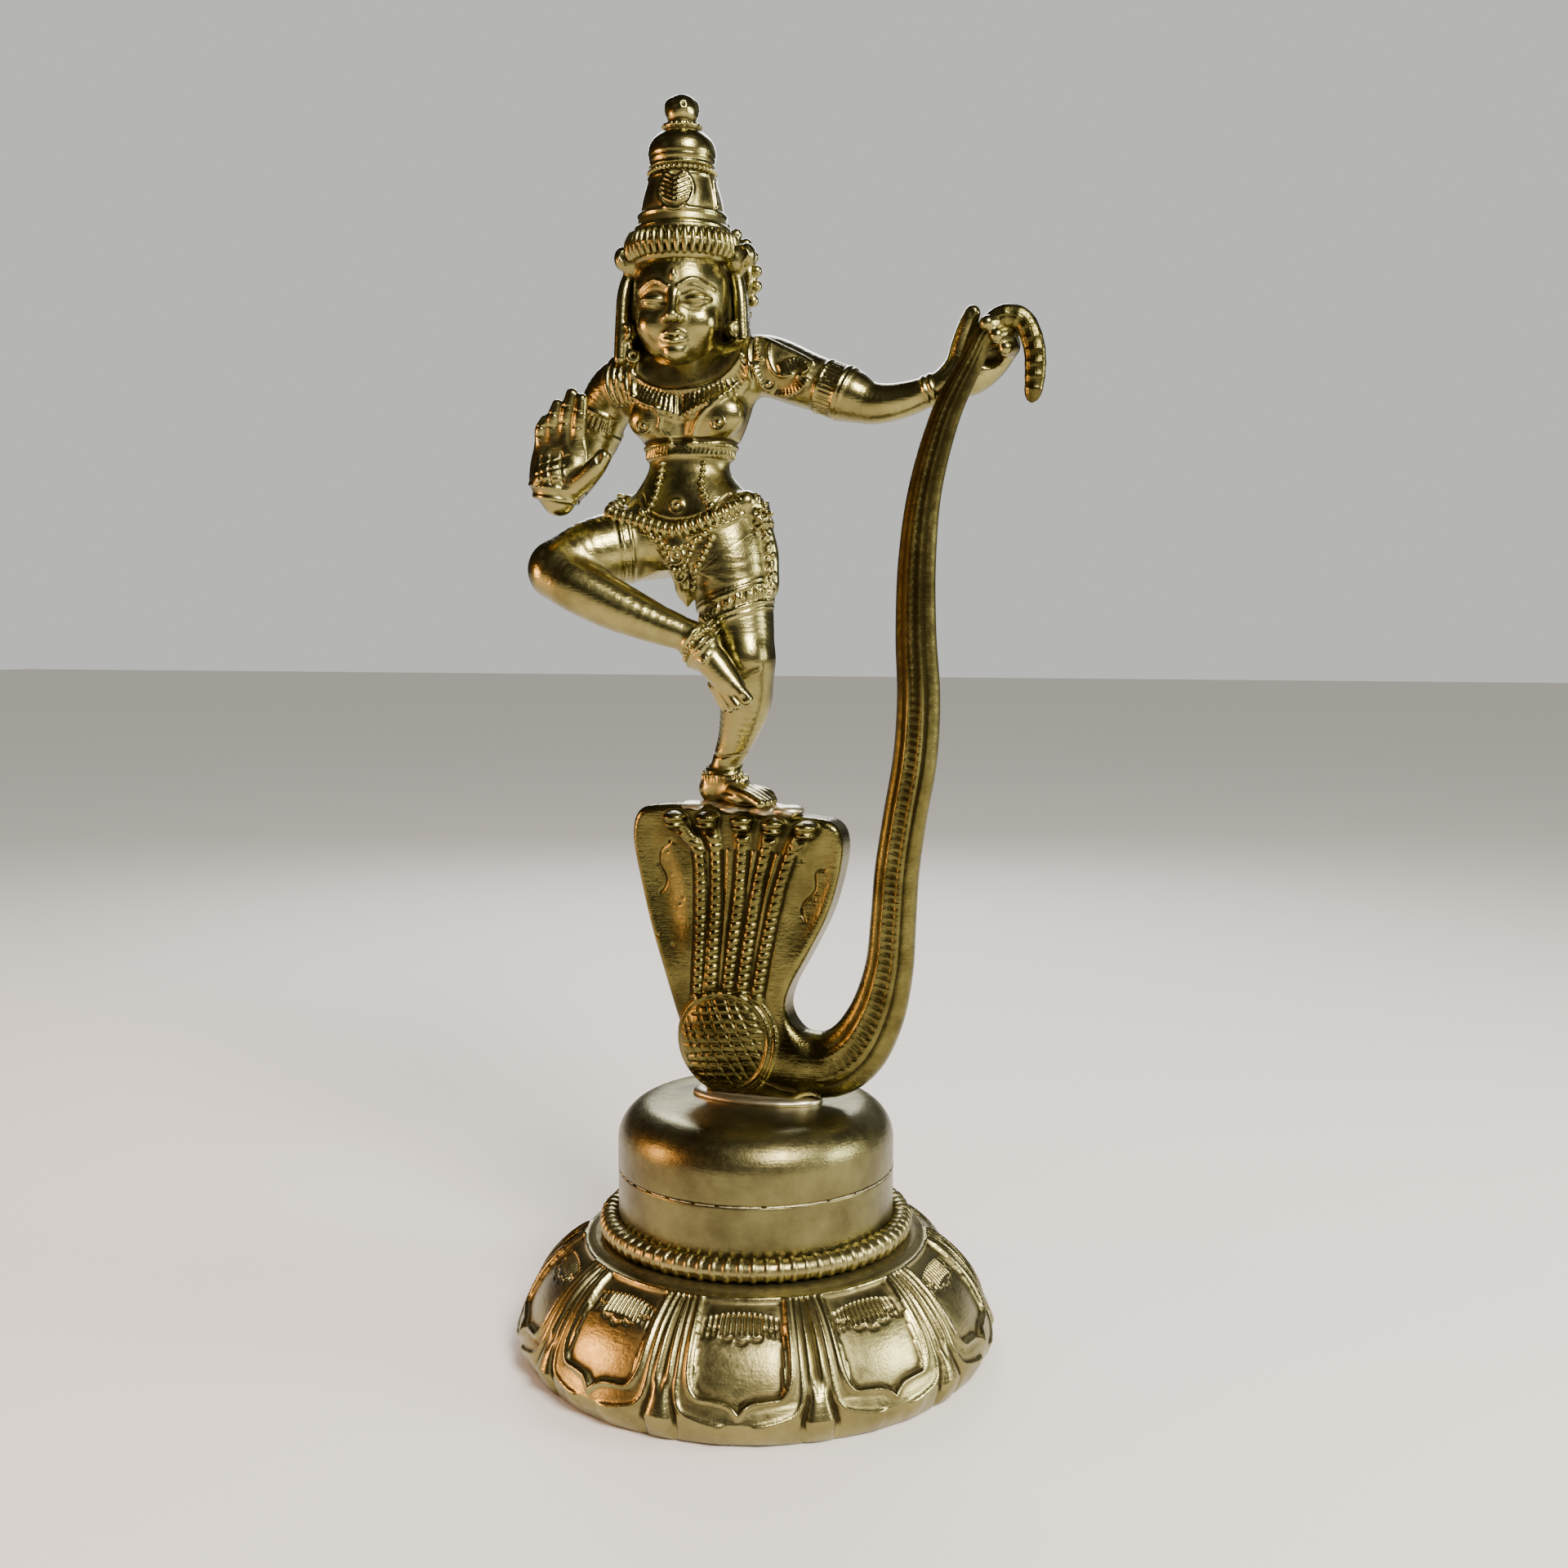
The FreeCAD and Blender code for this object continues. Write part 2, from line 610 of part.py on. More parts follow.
def halo_wheel():
    """The lobed wheel on a short stalk behind the head."""
    back = V(0, 1, 0)
    foot = body(HEAD_X, HALO_PLANE, 82.0)
    hub = body(HEAD_X, WHEEL_Y, 84.4)
    reach = (WHEEL_Y - HALO_PLANE) * SCALE
    stalk = Part.makeCylinder(2.4 * SCALE, reach, foot, back)
    radius = WHEEL_RADIUS * SCALE
    thickness = WHEEL_THICKNESS * SCALE
    wheel = Part.makeCylinder(radius, thickness, hub, back)
    lobes = []
    for i in range(WHEEL_LOBES):
        turn = 2 * math.pi * i / WHEEL_LOBES
        edge = hub + V(radius * math.cos(turn), 0, radius * math.sin(turn))
        lobes.append(Part.makeCylinder(WHEEL_LOBE_RADIUS * SCALE, thickness, edge, back))
    return stalk.fuse([wheel] + lobes)


def raised_arm():
    """The arm on the left, bent up with an open palm to the front."""
    arm = limb(
        [
            (body(LEFT_SHOULDER, 0.4, 67.4), 4.4, 4.4),
            (body(-23.2, 1.0, 65.0), 4.3),
            (body(-25.8, 1.4, 59.6), 3.7),
            (body(-27.4, -0.6, 54.0), 3.2),
            (body(-27.8, -5.6, 50.8), 2.9),
            (body(-27.2, -11.0, 49.4), 2.6),
        ],
        start=V(-1, 0, 0),
        across=V(0, 1, 0),
    )
    palm = limb(
        [
            (body(-27.4, -12.2, 47.4), 3.2, 2.6),
            (body(-26.4, -13.0, 51.4), 3.9, 2.3),
            (body(-25.2, -13.8, 57.8), 4.3, 1.9),
        ]
    )
    fingers = []
    lengths = [5.4, 7.4, 8.4, 7.4]
    for i, length in enumerate(lengths):
        root = body(-28.2 + 2.0 * i, -13.8, 57.0 + 0.5 * i)
        tip = body(-28.2 + 2.0 * i + 0.16 * length, -14.0, 57.0 + 0.5 * i + length)
        fingers.append(capsule(root, tip, 1.15 * SCALE, 0.95 * SCALE))
    thumb = capsule(body(-23.0, -13.6, 52.0), body(-16.4, -14.6, 56.4), 1.7 * SCALE, 1.4 * SCALE)
    return arm.fuse([palm, thumb] + fingers)


def tail_arm():
    """The arm on the right, held out, with its fist closed round the serpent's tail."""
    arm = limb(
        [
            (body(RIGHT_SHOULDER, 0.3, 68.4), 4.7, 4.7),
            (body(8.4, 0.5, 68.0), 4.4),
            (body(15.0, 0.3, 65.8), 3.9),
            (body(21.4, 0.0, 63.4), 3.4),
            (body(27.6, -0.2, 63.4), 2.6),
            (body(33.4, -0.4, 64.8), 2.1),
            (body(36.0, -0.4, 66.4), 2.2),
        ],
        start=V(1, 0, 0),
        across=V(0, 1, 0),
    )
    palm = limb(
        [
            (body(35.6, 0.2, 66.0), 2.2, 2.4),
            (body(39.0, 0.4, 69.4), 2.9, 3.2),
            (body(42.6, -0.6, 72.0), 2.8, 2.8),
        ],
        across=V(0, 1, 0),
    )
    thumb = capsule(body(38.0, -1.4, 70.4), body(39.2, -1.6, 75.4), 1.4 * SCALE, 1.2 * SCALE)
    fingers = capsule(body(43.6, -1.8, 70.6), body(41.8, -5.2, 70.2), 1.8 * SCALE, 1.5 * SCALE)
    hand = arm.fuse([palm, thumb, fingers])
    return hand.cut(serpent_tail(extra=SEAT_GAP))


# ---------------------------------------------------------------- write the parts
MAKERS = [
    lotus_base,
    rope_ring,
    pedestal_drum,
    pedestal_cap,
    fixing_stud,
    fixing_washer,
    fixing_nut,
    serpent_braze,
    serpent_hood,
    serpent_tail,
    foot_braze,
    standing_leg,
    raised_leg,
    torso,
    raised_arm,
    tail_arm,
    head,
    crown,
    halo_wheel,
]

os.makedirs("parts", exist_ok=True)
for maker in MAKERS:
    shape = maker()
    solids = shape.Solids
    if not solids or not shape.isValid():
        raise ValueError(f"{maker.__name__} is not a valid solid")
    piece = solids[0] if len(solids) == 1 else Part.makeCompound(solids)
    piece.exportStep(f"parts/{maker.__name__}.step")
    print(f"{maker.__name__:16s} {len(solids)} solid, {piece.Volume:9.1f} mm3")
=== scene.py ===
"""A cast brass figure dancing on a five-headed serpent, on a drum and a lotus pedestal.

Sizes are millimetres, turned to metres when a mesh is made. +Z is up, the figure faces -Y and
the held tail is on the +X side. Left and right are a viewer's, facing the statue.
"""

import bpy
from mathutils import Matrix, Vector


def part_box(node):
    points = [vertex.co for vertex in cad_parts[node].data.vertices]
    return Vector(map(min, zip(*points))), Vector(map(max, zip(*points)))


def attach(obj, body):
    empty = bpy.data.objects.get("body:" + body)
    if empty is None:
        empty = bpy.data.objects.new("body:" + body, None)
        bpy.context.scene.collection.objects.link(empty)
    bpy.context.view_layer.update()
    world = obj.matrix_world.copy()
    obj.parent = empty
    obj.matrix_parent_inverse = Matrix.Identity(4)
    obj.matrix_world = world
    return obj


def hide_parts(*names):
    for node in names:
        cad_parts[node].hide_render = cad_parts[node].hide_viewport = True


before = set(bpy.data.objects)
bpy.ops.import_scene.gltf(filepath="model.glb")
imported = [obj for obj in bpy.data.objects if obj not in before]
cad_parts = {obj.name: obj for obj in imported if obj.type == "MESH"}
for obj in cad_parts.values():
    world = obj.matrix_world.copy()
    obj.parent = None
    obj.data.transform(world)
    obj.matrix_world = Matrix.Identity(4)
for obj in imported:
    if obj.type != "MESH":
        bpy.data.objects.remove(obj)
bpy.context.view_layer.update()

import math

import bmesh
import bpy
import numpy as np
import openvdb as vdb
from mathutils import Matrix

MM = 0.001


# ---- camera, floor and light
# The statue stands on a plain pale floor, seen a little from its right side and slightly
# from above its middle, between two large soft lamps and a low warm one.
CAMERA_TURN = math.radians(20.0)
CAMERA_REACH = 262.0
CAMERA_HEIGHT = 117.0
CAMERA_DIP = math.radians(5.3)
CAMERA_PAN = math.radians(1.01)
CAMERA_LENS = 37.3  # on the usual 36 mm wide sensor
FLOOR_RADIUS = 4000.0
FLOOR_COLOUR = "D2CCC5"
ROOM_COLOUR = "D4D4CF"
ROOM_STRENGTH = 1.0
ROOM_DARK = "3A3226"  # the dim side of the room, which only reflections show
ROOM_DARK_STRENGTH = 0.46
LAMPS = [  # name, place, size, watts, colour
    ("window", (330.0, -330.0, 460.0), 200.0, 8.6, "FFF8F0"),
    ("bounce", (-420.0, -200.0, 120.0), 150.0, 1.7, "FFB877"),
    ("back", (-160.0, 420.0, 380.0), 260.0, 2.6, "F2F5FF"),
    ("side", (520.0, 60.0, 200.0), 170.0, 2.8, "F4F6EC"),
]
AIM = (0.0, 0.0, 105.0)


def linear(code):
    """An sRGB hex colour as linear light with full alpha."""
    parts = [int(code[i : i + 2], 16) / 255 for i in (0, 2, 4)]
    return [c / 12.92 if c < 0.04045 else ((c + 0.055) / 1.055) ** 2.4 for c in parts] + [1.0]


def add(tree, kind, inputs=(), **settings):
    """Adds a node. inputs maps a socket's name or number to a value, or to the socket or the node
    that feeds it. A node feeds with its first output that is in use."""
    made = tree.nodes.new(kind)
    for name, value in settings.items():
        setattr(made, name, value)
    for socket, value in dict(inputs).items():
        if isinstance(value, bpy.types.Node):
            value = next(socket for socket in value.outputs if socket.enabled)
        if isinstance(value, bpy.types.NodeSocket):
            tree.links.new(value, made.inputs[socket])
        else:
            made.inputs[socket].default_value = value
    return made


def look_at(place, target):
    """A placement at place whose -Z points at target."""
    back = np.array(place) - np.array(target)
    back = back / np.linalg.norm(back)
    right = np.cross((0, 0, 1), back)
    right /= np.linalg.norm(right)
    turn = Matrix(np.column_stack([right, np.cross(back, right), back]).tolist()).to_4x4()
    turn.translation = [c * MM for c in place]
    return turn


scene = bpy.context.scene
camera = bpy.data.objects.new("camera", bpy.data.cameras.new("camera"))
scene.collection.objects.link(camera)
stand = CAMERA_REACH * math.sin(CAMERA_TURN), -CAMERA_REACH * math.cos(CAMERA_TURN), CAMERA_HEIGHT
heading = CAMERA_TURN - CAMERA_PAN
gaze = (
    stand[0] - math.sin(heading) * math.cos(CAMERA_DIP),
    stand[1] + math.cos(heading) * math.cos(CAMERA_DIP), stand[2] - math.sin(CAMERA_DIP)
)
camera.matrix_world = look_at(stand, gaze)
camera.data.lens = CAMERA_LENS
camera.data.clip_start = 0.01
scene.camera = camera

for name, place, size, watts, colour in LAMPS:
    lamp = bpy.data.lights.new(name, "AREA")
    lamp.size = size * MM
    lamp.energy = watts
    lamp.color = linear(colour)[:3]
    holder = bpy.data.objects.new(name, lamp)
    holder.matrix_world = look_at(place, AIM)
    scene.collection.objects.link(holder)


def studio_room():
    """A pale even room. Its reflection in metal is dimmer, patchy, and darkest near the horizon."""
    room = bpy.data.worlds.new("room")
    room.use_nodes = True
    tree = room.node_tree
    pale = tree.nodes["Background"]
    pale.inputs["Color"].default_value = linear(ROOM_COLOUR)
    pale.inputs["Strength"].default_value = ROOM_STRENGTH
    place = add(tree, "ShaderNodeTexCoord").outputs["Generated"]
    shapes = add(tree, "ShaderNodeTexNoise", {"Vector": place, "Scale": 1.3, "Detail": 1.0})
    light = add(tree, "ShaderNodeMapRange", {"Value": shapes, "From Min": 0.50, "From Max": 0.68})
    tones = {"Factor": light, "A": linear(ROOM_DARK), "B": linear(ROOM_COLOUR)}
    tone = add(tree, "ShaderNodeMix", tones, data_type="RGBA")
    up = add(tree, "ShaderNodeSeparateXYZ", {"Vector": place}).outputs["Z"]
    height = {"Value": up, "From Min": 0.05, "From Max": 0.35, "To Min": 0.2, "To Max": 1.15}
    share = add(tree, "ShaderNodeMapRange", height)
    strength = add(tree, "ShaderNodeMath", {0: share, 1: ROOM_DARK_STRENGTH}, operation="MULTIPLY")
    dim = add(tree, "ShaderNodeBackground", {"Color": tone, "Strength": strength})
    mirrored = add(tree, "ShaderNodeLightPath").outputs["Is Glossy Ray"]
    both = add(tree, "ShaderNodeMixShader", {0: mirrored, 1: pale, 2: dim})
    tree.links.new(both.outputs[0], tree.nodes["World Output"].inputs["Surface"])
    return room


scene.world = studio_room()


def new_material(name):
    """An empty material, its tree and its shader."""
    material = bpy.data.materials.new(name)
    material.use_nodes = True
    return material, material.node_tree, material.node_tree.nodes["Principled BSDF"]


def painted_floor():
    """Matt pale studio floor."""
    material, tree, shader = new_material("matt_floor")
    shader.inputs["Base Color"].default_value = linear(FLOOR_COLOUR)
    shader.inputs["Roughness"].default_value = 0.9
    shader.inputs["Specular IOR Level"].default_value = 0.1
    return material


def mesh_object(name, points, faces, material):
    """A smooth mesh object from points in millimetres."""
    mesh = bpy.data.meshes.new(name)
    mesh.from_pydata((np.asarray(points, float) * MM).tolist(), [], [list(map(int, f)) for f in faces])
    mesh.polygons.foreach_set("use_smooth", [True] * len(mesh.polygons))
    mesh.materials.append(material)
    mesh.update()
    made = bpy.data.objects.new(name, mesh)
    scene.collection.objects.link(made)
    return made


r = FLOOR_RADIUS
floor = mesh_object(
    "floor", [(-r, -r, 0), (r, -r, 0), (r, r, 0), (-r, r, 0)], [(0, 1, 2, 3)], painted_floor()
)


# ---- cast brass
# Every casting is leaded brass, sand or wax cast, filed and wire brushed, then left to age: a
# satin metal, darker and browner in its hollows, with a faint grain and worn bright ridges.
PATCH, SPECK, GRIT = 9.0, 1.3, 0.45  # sizes of the dull patches, the specks and the finest grain
STROKES = (0.35, 0.35, 3.2)  # file strokes to a millimetre: they lie level
HOLLOW_GRIP = (0.36, 1.05, 0.92)  # where stain in hollows and painted shade start and end, and how much they cover


def aged_brass(name, clean, dull, stain_and_shade, roughness, grain=0.05):
    """Aged cast brass: clean metal on ridges, dull metal in patches, stain in hollows, and the same dark
    tone as painted shade where a piece asks for it.
    """
    material, tree, shader = new_material(name)
    place = add(tree, "ShaderNodeTexCoord").outputs["Object"]
    patches, specks, grit = (
        add(
            tree, "ShaderNodeTexNoise",
            {"Vector": place, "Scale": 1 / (size * MM), "Detail": detail, "Roughness": rough}
        ) for size,
        detail, rough in ((PATCH, 5.0, 0.62), (SPECK, 4.0, 0.6), (GRIT, 3.0, 0.55))
    )
    hollow_and_shade = add(tree, "ShaderNodeAttribute", attribute_name="hollow_and_shade").outputs["Fac"]
    dulled = add(tree, "ShaderNodeMapRange", {"Value": patches, "From Min": 0.38, "From Max": 0.66})
    metals = {"Factor": dulled, "A": linear(clean), "B": linear(dull)}
    base = add(tree, "ShaderNodeMix", metals, data_type="RGBA")
    depth = add(tree, "ShaderNodeMath", {0: specks, 1: 0.55, 2: hollow_and_shade}, operation="MULTIPLY_ADD")
    start, end, most = HOLLOW_GRIP
    grip = {"Value": depth, "From Min": start, "From Max": end, "To Max": most}
    # the stain mask: patina in hollows, and on the tail painted shade as well
    stain_and_shade_mask = add(tree, "ShaderNodeMapRange", grip, interpolation_type="SMOOTHSTEP")
    tones = {"Factor": stain_and_shade_mask, "A": base, "B": linear(stain_and_shade)}
    colour = add(tree, "ShaderNodeMix", tones, data_type="RGBA")
    least, most = roughness - 0.05, roughness + 0.22
    polish = {"Value": depth, "From Min": 0.15, "From Max": 0.8, "To Min": least, "To Max": most}
    rough = add(tree, "ShaderNodeMapRange", polish)
    stroke = add(tree, "ShaderNodeMapping", {"Vector": place, "Scale": [n / MM for n in STROKES]})
    filed = add(tree, "ShaderNodeTexNoise", {"Vector": stroke, "Scale": 1.0, "Detail": 2.0})
    lines = add(tree, "ShaderNodeMath", {0: filed, 1: 0.9, 2: grit}, operation="MULTIPLY_ADD")
    relief = add(tree, "ShaderNodeMath", {0: specks, 1: 1.4, 2: lines}, operation="MULTIPLY_ADD")
    bump = add(tree, "ShaderNodeBump", {"Height": relief, "Strength": 0.6, "Distance": grain * MM})
    for socket, source in (("Base Color", colour), ("Roughness", rough), ("Normal", bump)):
        result = next(output for output in source.outputs if output.enabled)
        tree.links.new(result, shader.inputs[socket])
    shader.inputs["Metallic"].default_value = 1.0
    return material


pedestal_brass = aged_brass("satin_cast_brass_pedestal", "968D5E", "736A42", "28200F", 0.31)
# The drum and cap get a darker copy of the pedestal brass: painted shade on them.
drum_brass_painted_shade = aged_brass("satin_cast_brass_drum_painted_shade", "767049", "585133", "211A0C", 0.33)


# ---- lotus base
# A hollow cast bell whose ten petals were cut in the wax: each has a sunken panel with a raised
# double outline, a row of punched ticks and a row of crescents, and toes fill the corners.
def box_of(node):
    """The two corners of a casting's box, in millimetres."""
    return [np.array(corner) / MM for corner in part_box(node)]


PETALS = 10
PETAL_TURN = 16.0  # degrees from the front to the first petal's middle
low, high = box_of("lotus_base")
BELL_HEIGHT = high[2]
BELL_WALL = 2.2
RIM_RADIUS = 38.6
FOOT_RADIUS = 36.8
RIM_Z = BELL_HEIGHT * 0.2
SHOULDER_RADIUS = 26.4
MOUTH_RADIUS = 20.4  # the hole in the top, under the drum


def bell_side(steps):
    """(radius, height) down the bell's convex side, by a circle through three points."""
    a = np.array([SHOULDER_RADIUS, BELL_HEIGHT])
    b = np.array([SHOULDER_RADIUS + 0.68 * (RIM_RADIUS - SHOULDER_RADIUS), BELL_HEIGHT * 0.66])
    c = np.array([RIM_RADIUS, RIM_Z])
    m = np.array([b - a, c - a])
    centre = np.linalg.solve(2 * m, [b @ b - a @ a, c @ c - a @ a])
    start, end = (math.atan2(*(p - centre)[::-1]) for p in (a, c))
    turn = start + (end - start) * steps
    reach = np.linalg.norm(a - centre)
    return centre[0] + reach * np.cos(turn), centre[1] + reach * np.sin(turn)


def distance_to(x, y, path):
    """Distance from every (x, y) to an open path of points."""
    best = np.full(x.shape, 1e9)
    for (x0, y0), (x1, y1) in zip(path, path[1:]):
        dx, dy = x1 - x0, y1 - y0
        t = np.clip(((x - x0) * dx + (y - y0) * dy) / (dx * dx + dy * dy + 1e-12), 0, 1)
        best = np.minimum(best, np.hypot(x - x0 - t * dx, y - y0 - t * dy))
    return best


def bump_of(distance, width):
    """A soft ridge profile, 1 on the line and 0 a few widths away."""
    return np.exp(-((distance / width) ** 2))


def curved(points, steps=8):
    """A smooth path through points, by Catmull-Rom."""
    p = np.array(points, float)
    p = np.vstack([2 * p[0] - p[1], p, 2 * p[-1] - p[-2]])
    t = np.linspace(0, 1, steps, endpoint=False)[:, None]
    runs = []
    for a, b, c, d in zip(p, p[1:], p[2:], p[3:]):
        runs.append(
            0.5 * (
                2 * b + (c - a) * t + (2 * a - 5 * b + 4 * c - d) * t**2 + (3 * b - a - 3 * c + d) * t**3
            )
        )
    return np.vstack(runs + [p[-2:-1]])


PANEL_HALF = [
    (6.3, 1.2), (6.8, 5.0), (7.5, 10.5), (7.6, 14.4), (6.5, 16.7), (3.8, 17.1), (1.5, 17.5), (0.0, 18.8)
]
OUTLINE_HALF = [
    (7.4, 1.2), (8.2, 6.0), (9.1, 12.0), (9.4, 16.4), (8.4, 18.9), (5.2, 20.0), (2.2, 20.6), (0.0, 22.5)
]
TICKS = 14
TICK_PITCH = 0.82
CRESCENTS = 5
CRESCENT_PITCH = 2.2
FAN = [(0.0, -0.42, 0.16), (0.42, 0.36, 0.15), (0.80, -0.34, 0.12)]  # place, height, width


def petal_relief(s, t, turn, radius):
    """How far the bell's skin stands out, mm, at s across and t down a petal. turn is -1 to 1."""
    panel = curved(PANEL_HALF)
    outline = curved(OUTLINE_HALF)
    a = np.abs(s)
    to_panel = distance_to(a, t, panel)
    bottom = np.interp(a, panel[::-1, 0], panel[::-1, 1], left=18.6, right=0.0)
    inside = (a < 7.7) & (t < bottom) & (to_panel > 0)
    sink = np.where(inside, np.clip(to_panel / 0.9, 0, 1), 0.0)
    relief = -0.42 * sink + 0.52 * bump_of(to_panel, 0.42)
    relief += 0.40 * bump_of(distance_to(a, t, outline), 0.36)
    ticks_t = 4.0 + 0.035 * s**2
    for i in range(TICKS):
        middle = (i - (TICKS - 1) / 2) * TICK_PITCH
        lean = 0.03 * middle
        row = np.clip(1.2 - np.abs(t - ticks_t - 1.7) / 1.5, 0, 1)
        relief -= 0.42 * bump_of(s - middle - lean * (t - 5), 0.19) * np.minimum(row * 3, 1)
    for i in range(CRESCENTS):
        middle = (i - (CRESCENTS - 1) / 2) * CRESCENT_PITCH
        drop = 8.7 - 0.10 * middle**2
        ring = np.abs(np.hypot(s - middle, (t - drop + 0.7) * 1.15) - 0.95)
        lower = np.clip((t - drop + 0.55) / 0.5, 0, 1)
        relief -= 0.40 * bump_of(ring, 0.26) * lower
    mark = np.abs(np.hypot(s + 0.3, (t - 1.2) * 1.2) - 0.9)
    relief -= 0.34 * bump_of(mark, 0.24) * np.clip((t - 1.4) / 0.4, 0, 1)
    # ridges fan out between the petals, and below them a toe swells to the rim
    half = radius * math.pi / PETALS
    edge = (1 - np.abs(turn)) * half
    gap = np.maximum(half - np.interp(t, [0.0, 6.0, 12.0, 18.0, 24.0], [7.5, 8.2, 9.0, 9.4, 9.4]), 0.5)
    fan = edge / gap
    fade = np.clip((17.5 - t) / 3.5, 0, 1) * np.clip((1.25 - fan) / 0.2, 0, 1)
    for place, height, width in FAN:
        relief += height * bump_of(fan - place, width) * fade
    wide = 0.6 + 2.3 * np.clip((t - 14.5) / 8.0, 0, 1)
    rise = np.clip((t - 14.0) / 6.0, 0, 1)
    toe = np.sqrt(np.clip(1 - (edge / wide) ** 2, 0, 1)) * rise
    valley = bump_of(edge - wide - 0.35, 0.55) * rise
    lobe = np.clip(1 - (a / (half - wide - 0.6)) ** 2, 0, 1) * np.clip((t - 17.5) / 5.5, 0, 1)
    return relief + 0.9 * toe - 0.4 * valley + 0.9 * np.sqrt(lobe)


def wall_of(shape):
    """The quads between neighbouring points of a grid of this many rows and columns."""
    n, m = shape
    i, j = np.meshgrid(np.arange(n - 1), np.arange(m - 1), indexing="ij")
    a = i * m + j
    return np.stack([a, a + m, a + m + 1, a + 1], -1).reshape(-1, 4)


def petal_sector():
    """One petal's slice of the bell, outside, rim and inside, as a grid open at its two sides."""
    side = np.linspace(0, 1, 27)[1:]
    inner = np.linspace(0, 1, 64)
    half = np.concatenate([inner * 0.40 * 0.92, 0.368 + (1 - 0.368) * side])
    turn = np.concatenate([-half[::-1], half[1:]])
    down = np.concatenate([np.linspace(0, 0.40, 44), np.linspace(0.40, 1.0, 48)[1:]])
    radius, height = bell_side(down)
    length = np.concatenate([[0], np.cumsum(np.hypot(np.diff(radius), np.diff(height)))])
    slope = np.arctan2(np.gradient(radius), -np.gradient(height))
    angle = turn * math.pi / PETALS
    skin = []
    for k in range(len(down)):
        relief = petal_relief(radius[k] * angle, np.full_like(angle, length[k]), turn, radius[k])
        collar = np.clip((length[k] - 1.7) / 0.8, 0, 1)
        skin.append(relief * collar + 0.3 * bump_of(length[k] - 1.9, 0.3))
    deep = np.array(skin)
    for axis in (0, 1):
        for _ in range(10):
            deep = (np.roll(deep, 1, axis) + deep + np.roll(deep, -1, axis)) / 3
    deep = np.clip((deep - skin) * 3.2, -1, 1)
    deep[:3] = 0.45

    def around(r, z):
        """A row of points at these radii and heights."""
        return np.stack([r * np.sin(angle), -r * np.cos(angle), z + 0 * angle], -1)

    rows = []
    for k, relief in enumerate(skin):
        z = height[k] + relief * math.sin(slope[k])
        rows.append(around(radius[k] + relief * math.cos(slope[k]), np.maximum(z, 0.3)))
    rim_out = np.hypot(rows[-1][:, 0], rows[-1][:, 1])
    for share, z in ((0.25, 2.2), (0.6, 0.7), (0.85, 0.12), (1.0, 0.0)):
        rows.append(around(rim_out + (FOOT_RADIUS - rim_out) * share, z))
    inner_radius, inner_height = bell_side(np.linspace(1, 0, 10))
    steps = [(FOOT_RADIUS - BELL_WALL, 0.0)]
    steps += [(a - BELL_WALL, b - BELL_WALL * 0.6) for a, b in zip(inner_radius, inner_height)]
    steps += [(MOUTH_RADIUS, BELL_HEIGHT - BELL_WALL), (MOUTH_RADIUS, BELL_HEIGHT)]
    rows += [around(r, z) for r, z in steps]
    rows.append(rows[0])
    grid = np.array(rows)
    hollow_and_shade = np.zeros(grid.shape[:2])
    hollow_and_shade[: len(deep)] = deep
    hollow_and_shade[-1] = deep[0]
    return grid.reshape(-1, 3), wall_of(grid.shape[:2]), hollow_and_shade.ravel()


def group_tree(name, inputs):
    """A geometry node tree with these named inputs: (name, kind, default)."""
    tree = bpy.data.node_groups.new(name, "GeometryNodeTree")
    tree.interface.new_socket("Geometry", in_out="INPUT", socket_type="NodeSocketGeometry")
    tree.interface.new_socket("Geometry", in_out="OUTPUT", socket_type="NodeSocketGeometry")
    for label, kind, default in inputs:
        socket = tree.interface.new_socket(label, in_out="INPUT", socket_type=f"NodeSocket{kind}")
        if default is not None:
            socket.default_value = default
    return tree


def grown(name, source, tree, values):
    """The plain mesh object that a geometry node tree makes from source with these input values."""
    maker = source.modifiers.new(tree.name, "NODES")
    maker.node_group = tree
    for item in tree.interface.items_tree:
        if item.item_type == "SOCKET" and item.in_out == "INPUT" and item.name in values:
            maker[item.identifier] = values[item.name]
    bpy.context.view_layer.update()
    seen = source.evaluated_get(bpy.context.evaluated_depsgraph_get())
    mesh = bpy.data.meshes.new_from_object(seen)
    mesh.name = name
    made = bpy.data.objects.new(name, mesh)
    scene.collection.objects.link(made)
    old = source.data
    bpy.data.objects.remove(source)
    (bpy.data.meshes if isinstance(old, bpy.types.Mesh) else bpy.data.curves).remove(old)
    mesh.polygons.foreach_set("use_smooth", [True] * len(mesh.polygons))
    return made


def keep(piece, slot, *nodes):
    """The piece belongs to the statue's one body and stands for these castings."""
    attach(piece, "root")
    if nodes:
        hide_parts(*nodes)


SEAM_REACH = 0.004  # points of two slices that are nearer than this are one


